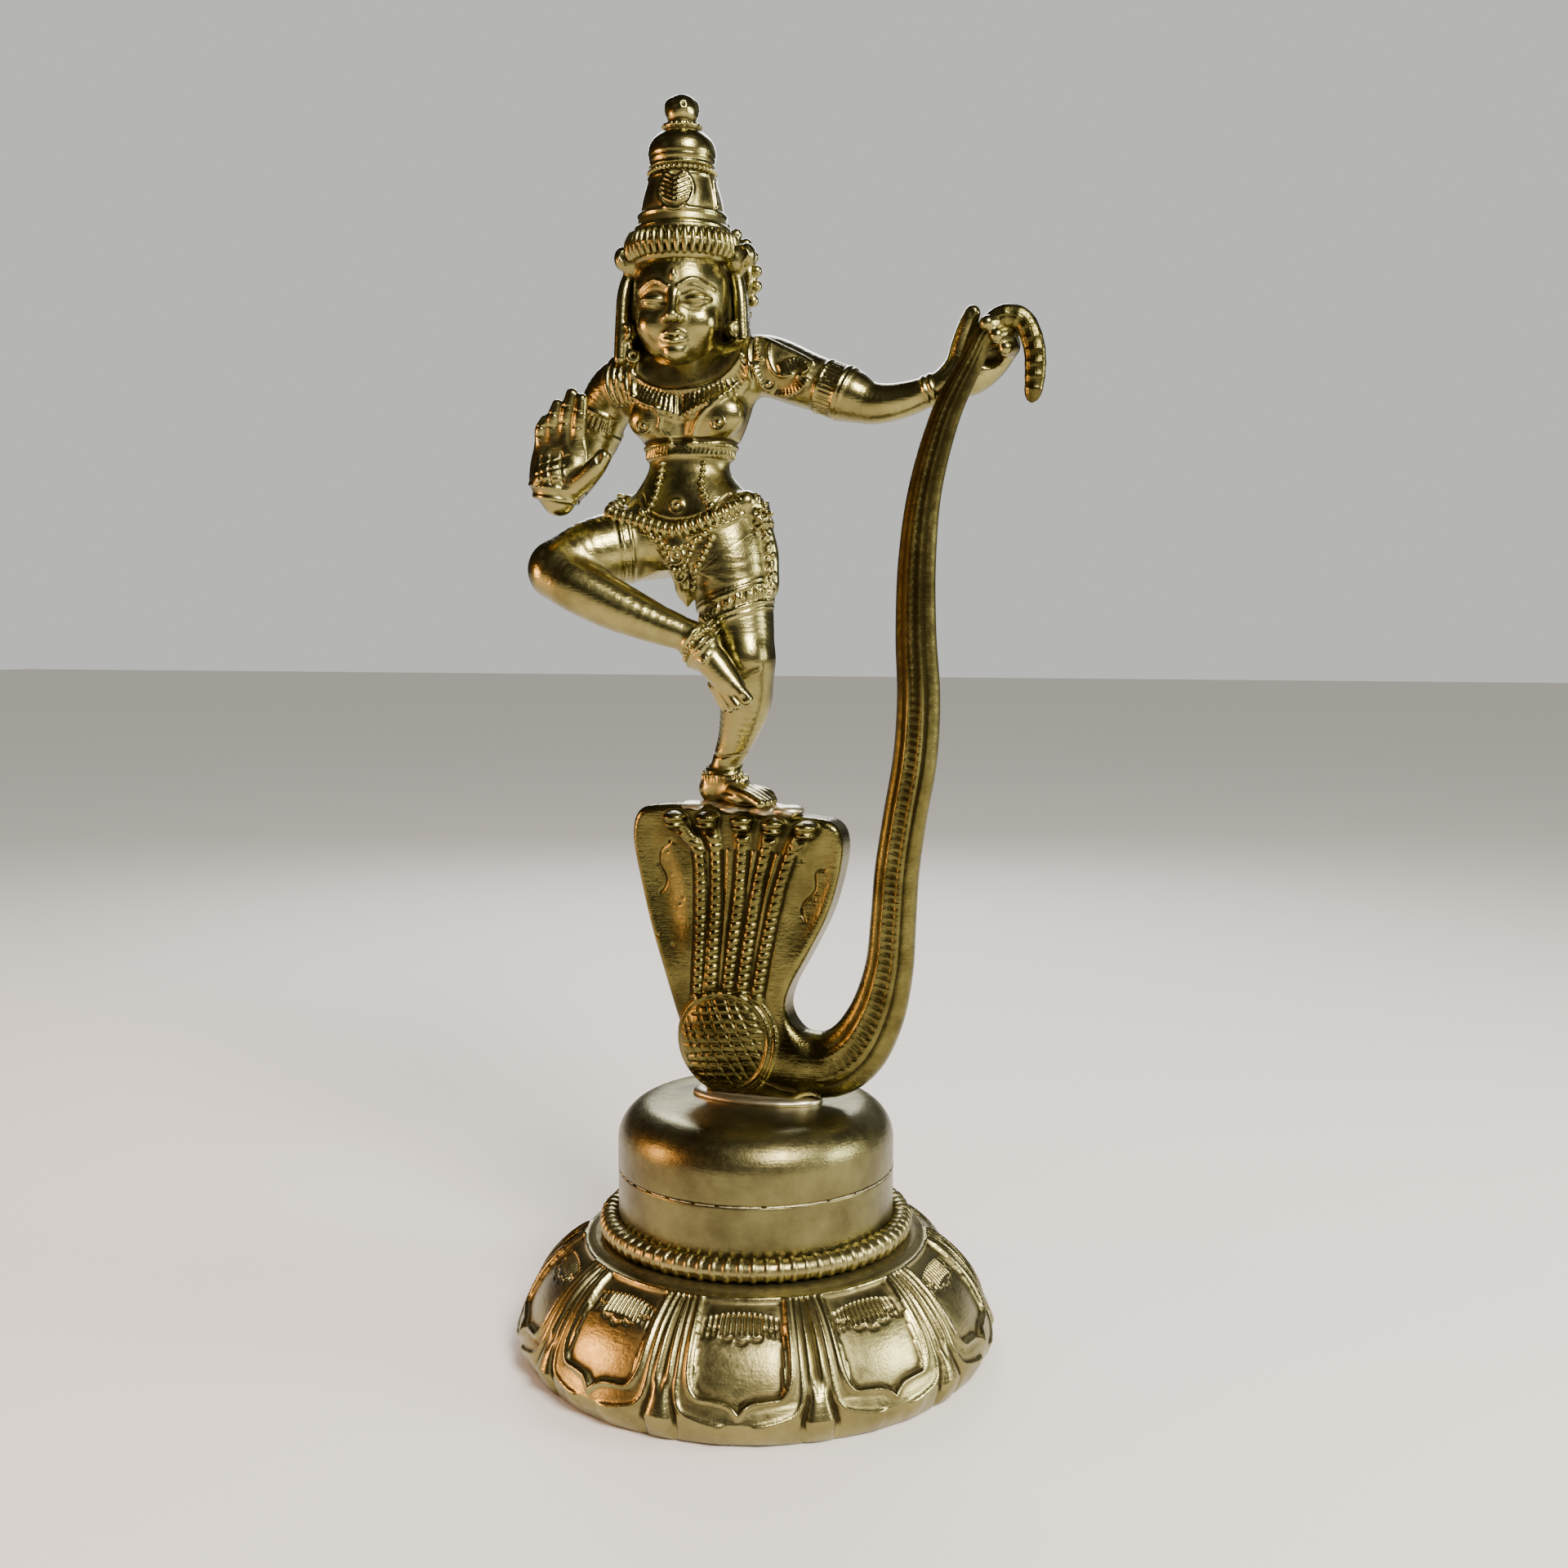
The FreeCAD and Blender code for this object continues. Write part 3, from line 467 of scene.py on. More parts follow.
def turned_copies():
    """Tree: copies of a slice turned about Z, joined edge to edge."""
    tree = group_tree(
        "turned_copies",
        [("Copies", "Int", 10), ("First Turn", "Float", 0.0), ("Material", "Material", None)]
    )
    given = tree.nodes.new("NodeGroupInput").outputs
    line = add(tree, "GeometryNodeMeshLine", {"Count": given["Copies"], "Offset": (0, 0, 0)})
    index = add(tree, "GeometryNodeInputIndex")
    pitch = add(tree, "ShaderNodeMath", {0: 2 * math.pi, 1: given["Copies"]}, operation="DIVIDE")
    angle = {0: index, 1: pitch, 2: given["First Turn"]}
    spin = add(
        tree, "ShaderNodeCombineXYZ", {"Z": add(tree, "ShaderNodeMath", angle, operation="MULTIPLY_ADD")}
    )
    placed = {"Points": line, "Instance": given["Geometry"], "Rotation": spin}
    copies = add(tree, "GeometryNodeInstanceOnPoints", placed)
    real = add(tree, "GeometryNodeRealizeInstances", {"Geometry": copies})
    merged = add(tree, "GeometryNodeMergeByDistance", {"Geometry": real, "Distance": SEAM_REACH * MM})
    dressed = add(tree, "GeometryNodeSetMaterial", {"Geometry": merged, "Material": given["Material"]})
    add(tree, "NodeGroupOutput", {"Geometry": dressed})
    return tree


def set_hollow_and_shade(piece, values):
    """Tells the brass how hollow each point of a piece is, from -1 on a ridge to 1 in a groove; the tail
    adds painted shade to these values.
    """
    layer = piece.data.attributes.new("hollow_and_shade", "FLOAT", "POINT")
    layer.data.foreach_set("value", np.asarray(values, np.float32))


slice_points, slice_faces, slice_hollow = petal_sector()
petal_slice = mesh_object("petal_slice", slice_points, slice_faces, pedestal_brass)
set_hollow_and_shade(petal_slice, slice_hollow)
lotus = grown(
    "lotus_base", petal_slice, turned_copies(),
    {"Copies": PETALS, "First Turn": math.radians(PETAL_TURN), "Material": pedestal_brass}
)


def closed_outwards(piece):
    """Merges doubles and turns every face outwards."""
    shape = bmesh.new()
    shape.from_mesh(piece.data)
    bmesh.ops.remove_doubles(shape, verts=shape.verts, dist=0.002 * MM)
    bmesh.ops.dissolve_degenerate(shape, edges=shape.edges, dist=0.0005 * MM)
    bmesh.ops.recalc_face_normals(shape, faces=shape.faces)
    shape.to_mesh(piece.data)
    shape.free()


closed_outwards(lotus)
keep(lotus, "pedestal_brass", "lotus_base")

# ---- rope ring
# A ring of tool-cut gadroons that hides the joint between drum and bell: one fat bead after
# another, each a little uneven, set round a plain core.
def strung_beads():
    """Tree: rounded beads set one after another along a curve, on a core wire."""
    sizes = [("Spacing", 0.002), ("Along", 0.001), ("Across", 0.001), ("Up", 0.001), ("Core", 0.0005)]
    inputs = [(label, "Float", size) for label, size in sizes]
    inputs += [("Uneven", "Float", 0.08), ("Seed", "Int", 1), ("Material", "Material", None)]
    tree = group_tree("strung_beads", inputs)
    given = tree.nodes.new("NodeGroupInput").outputs
    path = given["Geometry"]
    spots = add(
        tree, "GeometryNodeCurveToPoints", {"Curve": path, "Length": given["Spacing"]}, mode="LENGTH"
    )
    bead = add(tree, "GeometryNodeMeshUVSphere", {"Segments": 12, "Rings": 8, "Radius": 1.0})
    size = add(tree, "ShaderNodeCombineXYZ", {"X": given["Up"], "Y": given["Across"], "Z": given["Along"]})
    least = add(tree, "ShaderNodeMath", {0: 1.0, 1: given["Uneven"]}, operation="SUBTRACT")
    most = add(tree, "ShaderNodeMath", {0: 1.0, 1: given["Uneven"]}, operation="ADD")
    span = {"Min": least, "Max": most, "Seed": given["Seed"]}
    vary = add(tree, "FunctionNodeRandomValue", span, data_type="FLOAT")
    scaled = add(tree, "ShaderNodeVectorMath", {0: size, "Scale": vary}, operation="SCALE")
    placed = {"Points": spots, "Instance": bead, "Rotation": spots.outputs["Rotation"], "Scale": scaled}
    beads = add(tree, "GeometryNodeInstanceOnPoints", placed)
    profile = add(tree, "GeometryNodeCurvePrimitiveCircle", {"Resolution": 8, "Radius": given["Core"]})
    wire = {"Curve": path, "Profile Curve": profile, "Fill Caps": True}
    core = add(tree, "GeometryNodeCurveToMesh", wire)
    real = add(tree, "GeometryNodeRealizeInstances", {"Geometry": beads})
    both = add(tree, "GeometryNodeJoinGeometry")
    for part in (real, core):
        tree.links.new(part.outputs[0], both.inputs[0])
    dressed = add(tree, "GeometryNodeSetMaterial", {"Geometry": both, "Material": given["Material"]})
    add(tree, "NodeGroupOutput", {"Geometry": dressed})
    return tree


BEADS_TREE = strung_beads()


def curve_object(name, paths, closed=False):
    """A curve object of straight runs through points in millimetres, one spline for each path."""
    curve = bpy.data.curves.new(name, "CURVE")
    curve.dimensions = "3D"
    curve.twist_mode = "Z_UP"
    for path in paths:
        spline = curve.splines.new("POLY")
        spline.points.add(len(path) - 1)
        for spot, place in zip(spline.points, path):
            spot.co = (*[c * MM for c in place], 1)
        spline.use_cyclic_u = closed
    made = bpy.data.objects.new(name, curve)
    scene.collection.objects.link(made)
    return made


def beads_along(name, paths, spacing, size, core, material, closed=False, uneven=0.08, seed=1):
    """A mesh of beads along paths. size is half the bead along, across and up from the path."""
    lengths = zip(("Spacing", "Along", "Across", "Up", "Core"), (spacing, *size, core))
    values = {label: length * MM for label, length in lengths}
    values.update({"Uneven": uneven, "Seed": seed, "Material": material})
    made = grown(name, curve_object(name + "_path", paths, closed), BEADS_TREE, values)
    closed_outwards(made)
    return made


def circle(radius, height, steps=180, centre=(0.0, 0.0)):
    """Points round a level circle."""
    turn = np.linspace(0, 2 * math.pi, steps, endpoint=False)
    return np.stack(
        [centre[0] + radius * np.cos(turn), centre[1] + radius * np.sin(turn), turn * 0 + height], -1
    )


ROPE_BEADS = 76
low, high = box_of("rope_ring")
ROPE_WIRE = (high[2] - low[2]) / 2
ROPE_RADIUS = high[0] - ROPE_WIRE - 0.55
rope_path = circle(ROPE_RADIUS, low[2] + ROPE_WIRE)
rope_length = 2 * math.pi * ROPE_RADIUS
rope = beads_along(
    "rope_ring", [rope_path], rope_length / ROPE_BEADS,
    (rope_length / ROPE_BEADS * 0.58, ROPE_WIRE * 1.1, ROPE_WIRE * 1.04), ROPE_WIRE * 0.93, pedestal_brass,
    closed=True, uneven=0.05, seed=7
)
keep(rope, "pedestal_brass", "rope_ring")


# ---- drum and cap
# Two turned castings: the drum stands in the ring, and the cap with its wide rounded shoulder
# sits on it. Where they meet, a thin broken line of brazing metal shows.
TURN_STEPS = 240
WAVER = 0.06  # how far a hand-filed round strays


def turned(name, profile, seed):
    """A solid turned about Z from a closed (radius, height) profile, with a slight hand waver."""
    profile = np.array(profile + profile[:1], float)
    turn = np.linspace(0, 2 * math.pi, TURN_STEPS + 1)
    draw = np.random.default_rng(seed).uniform(0, 2 * math.pi, 4)
    wave = sum(np.sin((k + 2) * turn + draw[k]) for k in range(4)) * WAVER / 2
    rows = []
    for radius, height in profile:
        r = np.maximum(radius + wave * (radius > 5), 0)
        rows.append(np.stack([r * np.cos(turn), r * np.sin(turn), np.full_like(turn, height)], -1))
    grid = np.array(rows)
    # the drum and cap take the darker brass, which is painted shade
    made = mesh_object(name, grid.reshape(-1, 3), wall_of(grid.shape[:2]), drum_brass_painted_shade)
    closed_outwards(made)
    return made


def arc_points(centre, radius, first, last, steps):
    """(radius, height) points round a quarter or so of a circle, angles in degrees."""
    turn = np.radians(np.linspace(first, last, steps))
    return [(centre[0] + radius * math.cos(a), centre[1] + radius * math.sin(a)) for a in turn]


low, high = box_of("pedestal_drum")
DRUM_RADIUS = high[0]
DRUM_Z, SEAM_Z = low[2], high[2]
SEAM_CUT = 0.08
DRUM_INSIDE, CAP_INSIDE = DRUM_RADIUS - 2.2, DRUM_RADIUS - 4.5
STUD_HOLE = 2.6
drum_profile = [(DRUM_INSIDE, DRUM_Z)]
drum_profile += [(DRUM_RADIUS, z) for z in np.linspace(DRUM_Z, SEAM_Z - 0.4, 24)]
drum_profile += [(DRUM_RADIUS - SEAM_CUT, SEAM_Z - 0.08), (DRUM_INSIDE, SEAM_Z)]
drum_profile += [(DRUM_INSIDE, SEAM_Z - 4.5), (STUD_HOLE, SEAM_Z - 4.5), (STUD_HOLE, SEAM_Z - 6.7)]
drum_profile += [(DRUM_INSIDE, SEAM_Z - 6.7)]
drum = turned("pedestal_drum", drum_profile, 3)
keep(drum, "pedestal_brass", "pedestal_drum")

low, high = box_of("pedestal_cap")
CAP_Z = high[2]
CAP_SHOULDER = 6.2
CAP_WALL = 3.0
CAP_CROWN = 0.25  # the flat top is very slightly domed by filing
cap_profile = [(0.0, CAP_Z)]
cap_profile += [(r, CAP_Z - CAP_CROWN * (r / DRUM_RADIUS) ** 2) for r in np.linspace(2, 16, 10)]
cap_profile += arc_points((DRUM_RADIUS - CAP_SHOULDER, CAP_Z - CAP_SHOULDER - 0.2), CAP_SHOULDER, 86, 0, 18)
cap_profile += [(DRUM_RADIUS, z) for z in np.linspace(CAP_Z - 7.6, SEAM_Z + 0.4, 6)]
cap_profile += [(DRUM_RADIUS - SEAM_CUT, SEAM_Z + 0.08), (DRUM_RADIUS - 2.3, SEAM_Z)]
cap_profile += [(DRUM_RADIUS - 2.3, low[2]), (CAP_INSIDE, low[2])]
cap_profile += [(CAP_INSIDE, CAP_Z - CAP_WALL), (0.0, CAP_Z - CAP_WALL)]
cap = turned("pedestal_cap", cap_profile, 4)
keep(cap, "pedestal_brass", "pedestal_cap")

braze_metal = aged_brass("brazing_metal", "C9C2A6", "A69B78", "5A4C30", 0.42)
draw = np.random.default_rng(11)
SEAM_LINE = DRUM_RADIUS - 0.07
seam_paths, run, gap = [], [], 0
for a in np.linspace(0, 2 * math.pi, 900):
    if gap > 0:
        gap -= 1
        continue
    run.append((SEAM_LINE * math.cos(a), SEAM_LINE * math.sin(a), SEAM_Z))
    if draw.random() < 0.12 and len(run) > 3:
        seam_paths.append(run)
        run, gap = [], int(draw.integers(3, 16))
seam = beads_along("seam_line", seam_paths, 0.9, (0.75, 0.12, 0.16), 0.11, braze_metal, uneven=0.5, seed=5)
keep(seam, "braze_metal")


# ---- hidden fastening
# A plain steel stud, washer and hexagon nut pull the cap down on the drum from inside. They keep
# their plain shapes, since nobody sees them, and only get the look of drawn steel.
def plain_steel():
    """Bright drawn steel, slightly dulled."""
    material, tree, shader = new_material("drawn_steel")
    place = add(tree, "ShaderNodeTexCoord").outputs["Object"]
    dull = add(tree, "ShaderNodeTexNoise", {"Vector": place, "Scale": 1 / (1.5 * MM), "Detail": 3.0})
    rough = add(tree, "ShaderNodeMapRange", {"Value": dull, "To Min": 0.25, "To Max": 0.55})
    tree.links.new(rough.outputs["Result"], shader.inputs["Roughness"])
    shader.inputs["Base Color"].default_value = linear("A9A8A4")
    shader.inputs["Metallic"].default_value = 1.0
    return material


steel = plain_steel()
for node in ("fixing_stud", "fixing_washer", "fixing_nut"):
    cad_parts[node].material_slots[0].material = steel


# ---- clay
# The figure and the serpent were modelled in wax, so their shapes are pressed together softly and
# lines are cut with a tool. Here that wax is a grid of signed distances, meshed where it is zero.
FAR = 4.0  # no distance is stored beyond this
MARGIN = 1.2  # room round a lump for its soft edge
HOLLOW_GAIN = 5.0  # how strongly the depth of a hollow darkens the brass


def ball(centre, radii, turn=None):
    """A lump: an ellipsoid. turn is a 3 by 3 matrix whose rows are its own axes."""
    c, r = np.array(centre, float), np.broadcast_to(np.array(radii, float), 3)
    reach = np.full(3, r.max()) if turn is not None else r

    def shape(x, y, z):
        p = [x - c[0], y - c[1], z - c[2]]
        if turn is not None:
            p = [row[0] * p[0] + row[1] * p[1] + row[2] * p[2] for row in np.asarray(turn)]
        q = [p[i] / r[i] for i in range(3)]
        k0 = np.sqrt(q[0] ** 2 + q[1] ** 2 + q[2] ** 2)
        k1 = np.sqrt((q[0] / r[0]) ** 2 + (q[1] / r[1]) ** 2 + (q[2] / r[2]) ** 2)
        return k0 * (k0 - 1) / np.maximum(k1, 1e-4)

    return c - reach, c + reach, shape


def cone(a, b, ra, rb):
    """A lump: a rod with round ends, ra thick at a and rb at b."""
    a, b = np.array(a, float), np.array(b, float)
    d = b - a
    size = max(d @ d, 1e-9)

    def shape(x, y, z):
        px, py, pz = x - a[0], y - a[1], z - a[2]
        t = np.clip((px * d[0] + py * d[1] + pz * d[2]) / size, 0, 1)
        far = np.sqrt((px - t * d[0]) ** 2 + (py - t * d[1]) ** 2 + (pz - t * d[2]) ** 2)
        return far - (ra + (rb - ra) * t)

    r = max(ra, rb)
    return np.minimum(a, b) - r, np.maximum(a, b) + r, shape


def rod(path, radii, steps=5):
    """Lumps: a smooth rod along a path. radii is one size or one for each point of the path."""
    radii = np.broadcast_to(np.array(radii, float), len(path))
    line = curved(
        [(*p, r) for p, r in zip(path, radii)], steps
    ) if steps else [(*p, r) for p, r in zip(path, radii)]
    return [cone(p[:3], q[:3], p[3], q[3]) for p, q in zip(line, line[1:])]


def string(path, radius):
    """Lumps: a thin even rod straight from point to point."""
    return [cone(p, q, radius, radius) for p, q in zip(path, path[1:])]


def stack(levels):
    """A lump: smooth oval sections one above another: (height, x, y, half width, half depth)."""
    line = curved(levels, 6)
    order = np.argsort(line[:, 0])
    line = line[order]
    low = (line[:, 1] - line[:, 3]).min(), (line[:, 2] - line[:, 4]).min(), line[0, 0]
    high = (line[:, 1] + line[:, 3]).max(), (line[:, 2] + line[:, 4]).max(), line[-1, 0]

    def shape(x, y, z):
        cx, cy, rx, ry = (np.interp(z, line[:, 0], line[:, k]) for k in (1, 2, 3, 4))
        u, v = (x - cx) / rx, (y - cy) / ry
        k0 = np.sqrt(u**2 + v**2)
        k1 = np.sqrt((u / rx) ** 2 + (v / ry) ** 2)
        side = k0 * (k0 - 1) / np.maximum(k1, 1e-4)
        return np.maximum(side, np.maximum(line[0, 0] - z, z - line[-1, 0]))

    return np.array(low, float), np.array(high, float), shape


def hoop(centre, axis, radius, wire):
    """A lump: a round ring about an axis."""
    c = np.array(centre, float)
    n = np.array(axis, float) / np.linalg.norm(axis)

    def shape(x, y, z):
        px, py, pz = x - c[0], y - c[1], z - c[2]
        along = px * n[0] + py * n[1] + pz * n[2]
        out = np.sqrt(np.maximum(px**2 + py**2 + pz**2 - along**2, 0))
        return np.sqrt((out - radius) ** 2 + along**2) - wire

    return c - radius - wire, c + radius + wire, shape


class Clay:
    """Wax on a grid between two corners."""

    def __init__(self, low, high, cell):
        self.low, self.cell = np.array(low, float), cell
        self.count = np.ceil((np.array(high, float) - self.low) / cell).astype(int) + 1
        self.field = np.full(self.count, FAR, np.float32)

    def window(self, low, high):
        """Slices of the grid between two corners, and their coordinates, or None outside it."""
        a = np.clip(np.floor((low - self.low) / self.cell), 0, self.count).astype(int)
        b = np.clip(np.ceil((high - self.low) / self.cell) + 1, 0, self.count).astype(int)
        if (b <= a).any():
            return None, None
        axes = [(self.low[k] + self.cell * np.arange(a[k], b[k])).astype(np.float32) for k in range(3)]
        return tuple(slice(p, q) for p, q in zip(a, b)), np.meshgrid(*axes, indexing="ij", sparse=True)

    def press(self, *lumps, blend=0.5, cut=False):
        """Adds lumps as one body, or cuts them out, with a soft edge of this size."""
        flat = []
        for lump in lumps:
            flat += lump if isinstance(lump, list) else [lump]
        reach = blend + MARGIN
        low = np.min([lump[0] for lump in flat], 0) - reach
        high = np.max([lump[1] for lump in flat], 0) + reach
        place, spots = self.window(low, high)
        if place is None:
            return self
        one = Clay.__new__(Clay)
        one.low, one.cell = np.array([float(s.flat[0]) for s in spots]), self.cell
        one.count = np.array([s.size for s in spots])
        one.field = np.full(one.count, FAR, np.float32)
        for lump_low, lump_high, shape in flat:
            part, at = one.window(lump_low - reach, lump_high + reach)
            if part is not None:
                one.field[part] = np.minimum(one.field[part], shape(*at))
        old, new = self.field[place] * (-1 if cut else 1), one.field
        soft = np.maximum(blend - np.abs(old - new), 0) / max(blend, 1e-6)
        both = np.minimum(old, new) - soft * soft * blend / 4
        self.field[place] = -both if cut else both
        return self

    def trace(self, path, wire, blend=0.2, cut=False):
        """Draws a line: a raised wire, or a groove where cut."""
        return self.press(string(path, wire), blend=blend, cut=cut)

    def ringed(self, spot, radius, wire, button, blend):
        """Presses a ring that faces the front, with a button in its middle."""
        self.press(hoop(spot, (0, 1, 0), radius, wire), blend=blend)
        return self.press(ball(spot, button), blend=0.2)

    def sink(self, point, normal, slope=0.22, depth=3.0):
        """Beyond a plane the surface dives gently under its neighbour, and then ends."""
        n = np.array(normal, float) / np.linalg.norm(normal)
        axes = [self.low[k] + self.cell * np.arange(self.count[k]) for k in range(3)]
        x, y, z = np.meshgrid(*axes, indexing="ij", sparse=True)
        past = ((x - point[0]) * n[0] + (y - point[1]) * n[1] + (z - point[2]) * n[2]).astype(np.float32)
        self.field = np.maximum(self.field + slope * np.maximum(past, 0), past - depth).astype(np.float32)
        return self

    def read(self, points):
        """The distance at points, read between cells."""
        g = np.clip((np.asarray(points) - self.low) / self.cell, 0, self.count - 1.001)
        i = g.astype(int)
        f = g - i
        total = 0
        for corner in np.ndindex(2, 2, 2):
            weight = np.prod(np.where(corner, f, 1 - f), -1)
            total = total + weight * self.field[tuple((i + corner).T)]
        return total

    def onto(self, points, aim, reach=16.0):
        """Where rays from points along aim first meet the surface. A ray that misses stays put."""
        points = np.atleast_2d(np.array(points, float))
        aim = np.broadcast_to(np.array(aim, float), points.shape)
        aim = aim / np.linalg.norm(aim, axis=1, keepdims=True)
        travel = np.zeros(len(points))
        for _ in range(60):
            travel = np.minimum(
                travel + np.maximum(self.read(points + aim * travel[:, None]), -0.2) * 0.8, reach
            )
        return points + aim * travel[:, None]

    def hollows(self, radius=0.8):
        """How deep each cell lies below the blurred surface: above 0 in hollows."""
        n = max(int(radius / self.cell), 1)
        soft = np.clip(self.field, -1.5, 1.5)
        for axis in range(3):
            soft = np.moveaxis(soft, axis, 0)
            padded = np.concatenate([soft[:1]] * (n + 1) + [soft] + [soft[-1:]] * n)
            total = np.cumsum(padded, 0, dtype=np.float32)
            soft = np.moveaxis((total[2 * n + 1 :] - total[: -2 * n - 1]) / (2 * n + 1), 0, axis)
        return np.clip(self.field, -1.5, 1.5) - soft

    def cast(self, name, material, origin=(0, 0, 0), scale=1.0):
        """The mesh object where the distance is zero, with how hollow each point is."""
        self.field[[0, -1]] = self.field[:, [0, -1]] = self.field[:, :, [0, -1]] = FAR
        grid = vdb.FloatGrid(FAR)
        grid.copyFromArray(self.field)
        points, quads = grid.convertToQuads(0.0)
        spots = self.low + points * self.cell
        a, b, c = (spots[quads[:, k]] for k in range(3))
        if np.einsum("ij,ij->i", a, np.cross(b, c)).sum() < 0:
            quads = quads[:, ::-1]
        made = mesh_object(name, np.array(origin) + spots * scale, quads, material)
        depth = self.hollows()
        self.field = depth
        set_hollow_and_shade(made, np.clip(self.read(spots) * HOLLOW_GAIN, -1, 1))
        return made
# ---- serpent
# One casting: a flat spread hood with five ribbed necks that end in small heads, a scaled oval
# above the belly, and the body that runs out to the right and rises as the held tail.
serpent_brass = aged_brass("satin_cast_brass_serpent", "726B3C", "463F1F", "1A1407", 0.27, grain=0.085)
low, high = box_of("serpent_hood")
BELLY_Z = low[2]
PLATE_HALF = 3.0
FRONT = (0, 1, 0)


def plate(outline, half, soft):
    """A lump: a flat plate in the XZ plane with this closed outline and rounded edges."""
    path = np.array(outline)
    low = np.array([path[:, 0].min(), -half, path[:, 1].min()])
    high = np.array([path[:, 0].max(), half, path[:, 1].max()])

    def shape(x, y, z):
        px, pz = (v + np.zeros((x.shape[0], 1, z.shape[2]), np.float32) for v in (x, z))
        near, inside = np.full(px.shape, 1e9), np.zeros(px.shape, bool)
        for (x0, z0), (x1, z1) in zip(path, np.roll(path, -1, 0)):
            dx, dz = x1 - x0, z1 - z0
            t = np.clip(((px - x0) * dx + (pz - z0) * dz) / (dx * dx + dz * dz + 1e-9), 0, 1)
            near = np.minimum(near, np.hypot(px - x0 - t * dx, pz - z0 - t * dz))
            inside ^= ((z0 > pz) != (z1 > pz)) & (px < x0 + (pz - z0) * dx / (dz + 1e-12))
        side = np.where(inside, -near, near) + soft
        deep = np.abs(y) - half + soft
        return np.hypot(
            np.maximum(side, 0), np.maximum(deep, 0)
        ) + np.minimum(np.maximum(side, deep), 0) - soft

    return low, high, shape


HOOD_OUTLINE = [  # x and z, from the belly up the left side, over the top and down to the tail
    (-7.4, BELLY_Z - 0.4), (-10.2, 46.4), (-12.6, 53.0), (-15.0, 60.4), (-17.8, 69.6), (-20.0, 79.0),
    (-20.7, 83.8), (-20.2, 87.0), (-18.4, 88.7), (-14.0, 89.3), (-8.0, 89.4), (-2.0, 88.8), (4.0, 88.2),
    (9.6, 87.9), (13.4, 87.3), (15.2, 85.2), (15.3, 81.0), (13.2, 73.0), (9.6, 65.6), (6.7, 60.2),
    (5.9, 56.4), (7.6, 52.6), (9.4, 49.0), (9.2, 44.6), (7.6, BELLY_Z - 0.4),
]
outline = curved(HOOD_OUTLINE, 6)
hood = Clay((-24, -9, BELLY_Z - 1), (19, 5.5, 92), 0.2)
hood.press(plate(outline, PLATE_HALF, 1.2), blend=0)
BELLY = [  # x, middle height, y, half height and half depth, out to where the tail comes through
    (-4.5, 48.2, 0.0, 4.6, 3.0), (-1.0, 48.0, 0.0, 5.2, 3.5), (3.6, 47.7, 0.0, 5.6, 3.9),
    (8.4, 47.4, 0.0, 5.45, 4.0), (11.6, 47.5, 0.0, 5.3, 3.85), (14.6, 48.6, 0.0, 4.5, 3.2),
    (17.4, 50.2, 0.0, 3.0, 2.2),
]
belly_low, belly_high, belly = stack(BELLY)
hood.press((belly_low[[2, 1, 0]], belly_high[[2, 1, 0]], lambda x, y, z: belly(z, y, x)), blend=2.4)
# the two cheeks are dished, and the necks lie on a low swelling between them
for centre, half, across, lean in (
    ((-15.4, -5.4, 75.0), (3.9, 3.3, 12.5), 0.97, 0.22), ((10.6, -5.4, 75.5), (3.7, 3.3, 11.5), 0.93, -0.36)
):
    axes = (across, 0, lean), (0, 1, 0), (-lean, 0, across)
    hood.press(ball(centre, half, axes), blend=1.6, cut=True)

NECK_PITCH = 1.42
NECKS = [  # x and z from the oval up to the head
    [(-9.0, 58.0), (-8.6, 66.0), (-8.4, 75.0), (-8.7, 81.5), (-10.8, 84.6), (-12.6, 86.9)],
    [(-6.8, 58.6), (-6.3, 66.0), (-5.8, 75.0), (-5.8, 82.0), (-6.6, 85.2), (-7.0, 87.0)],
    [(-3.9, 58.8), (-3.0, 66.0), (-1.8, 75.0), (-1.2, 82.0), (-1.0, 84.8), (-1.0, 86.8)],
    [(-1.4, 58.8), (-0.4, 66.0), (1.1, 75.0), (2.8, 82.0), (3.6, 84.6), (4.3, 86.4)],
    [(1.2, 58.4), (2.6, 66.0), (4.7, 75.0), (6.9, 81.5), (8.4, 84.2), (9.8, 86.0)],
]
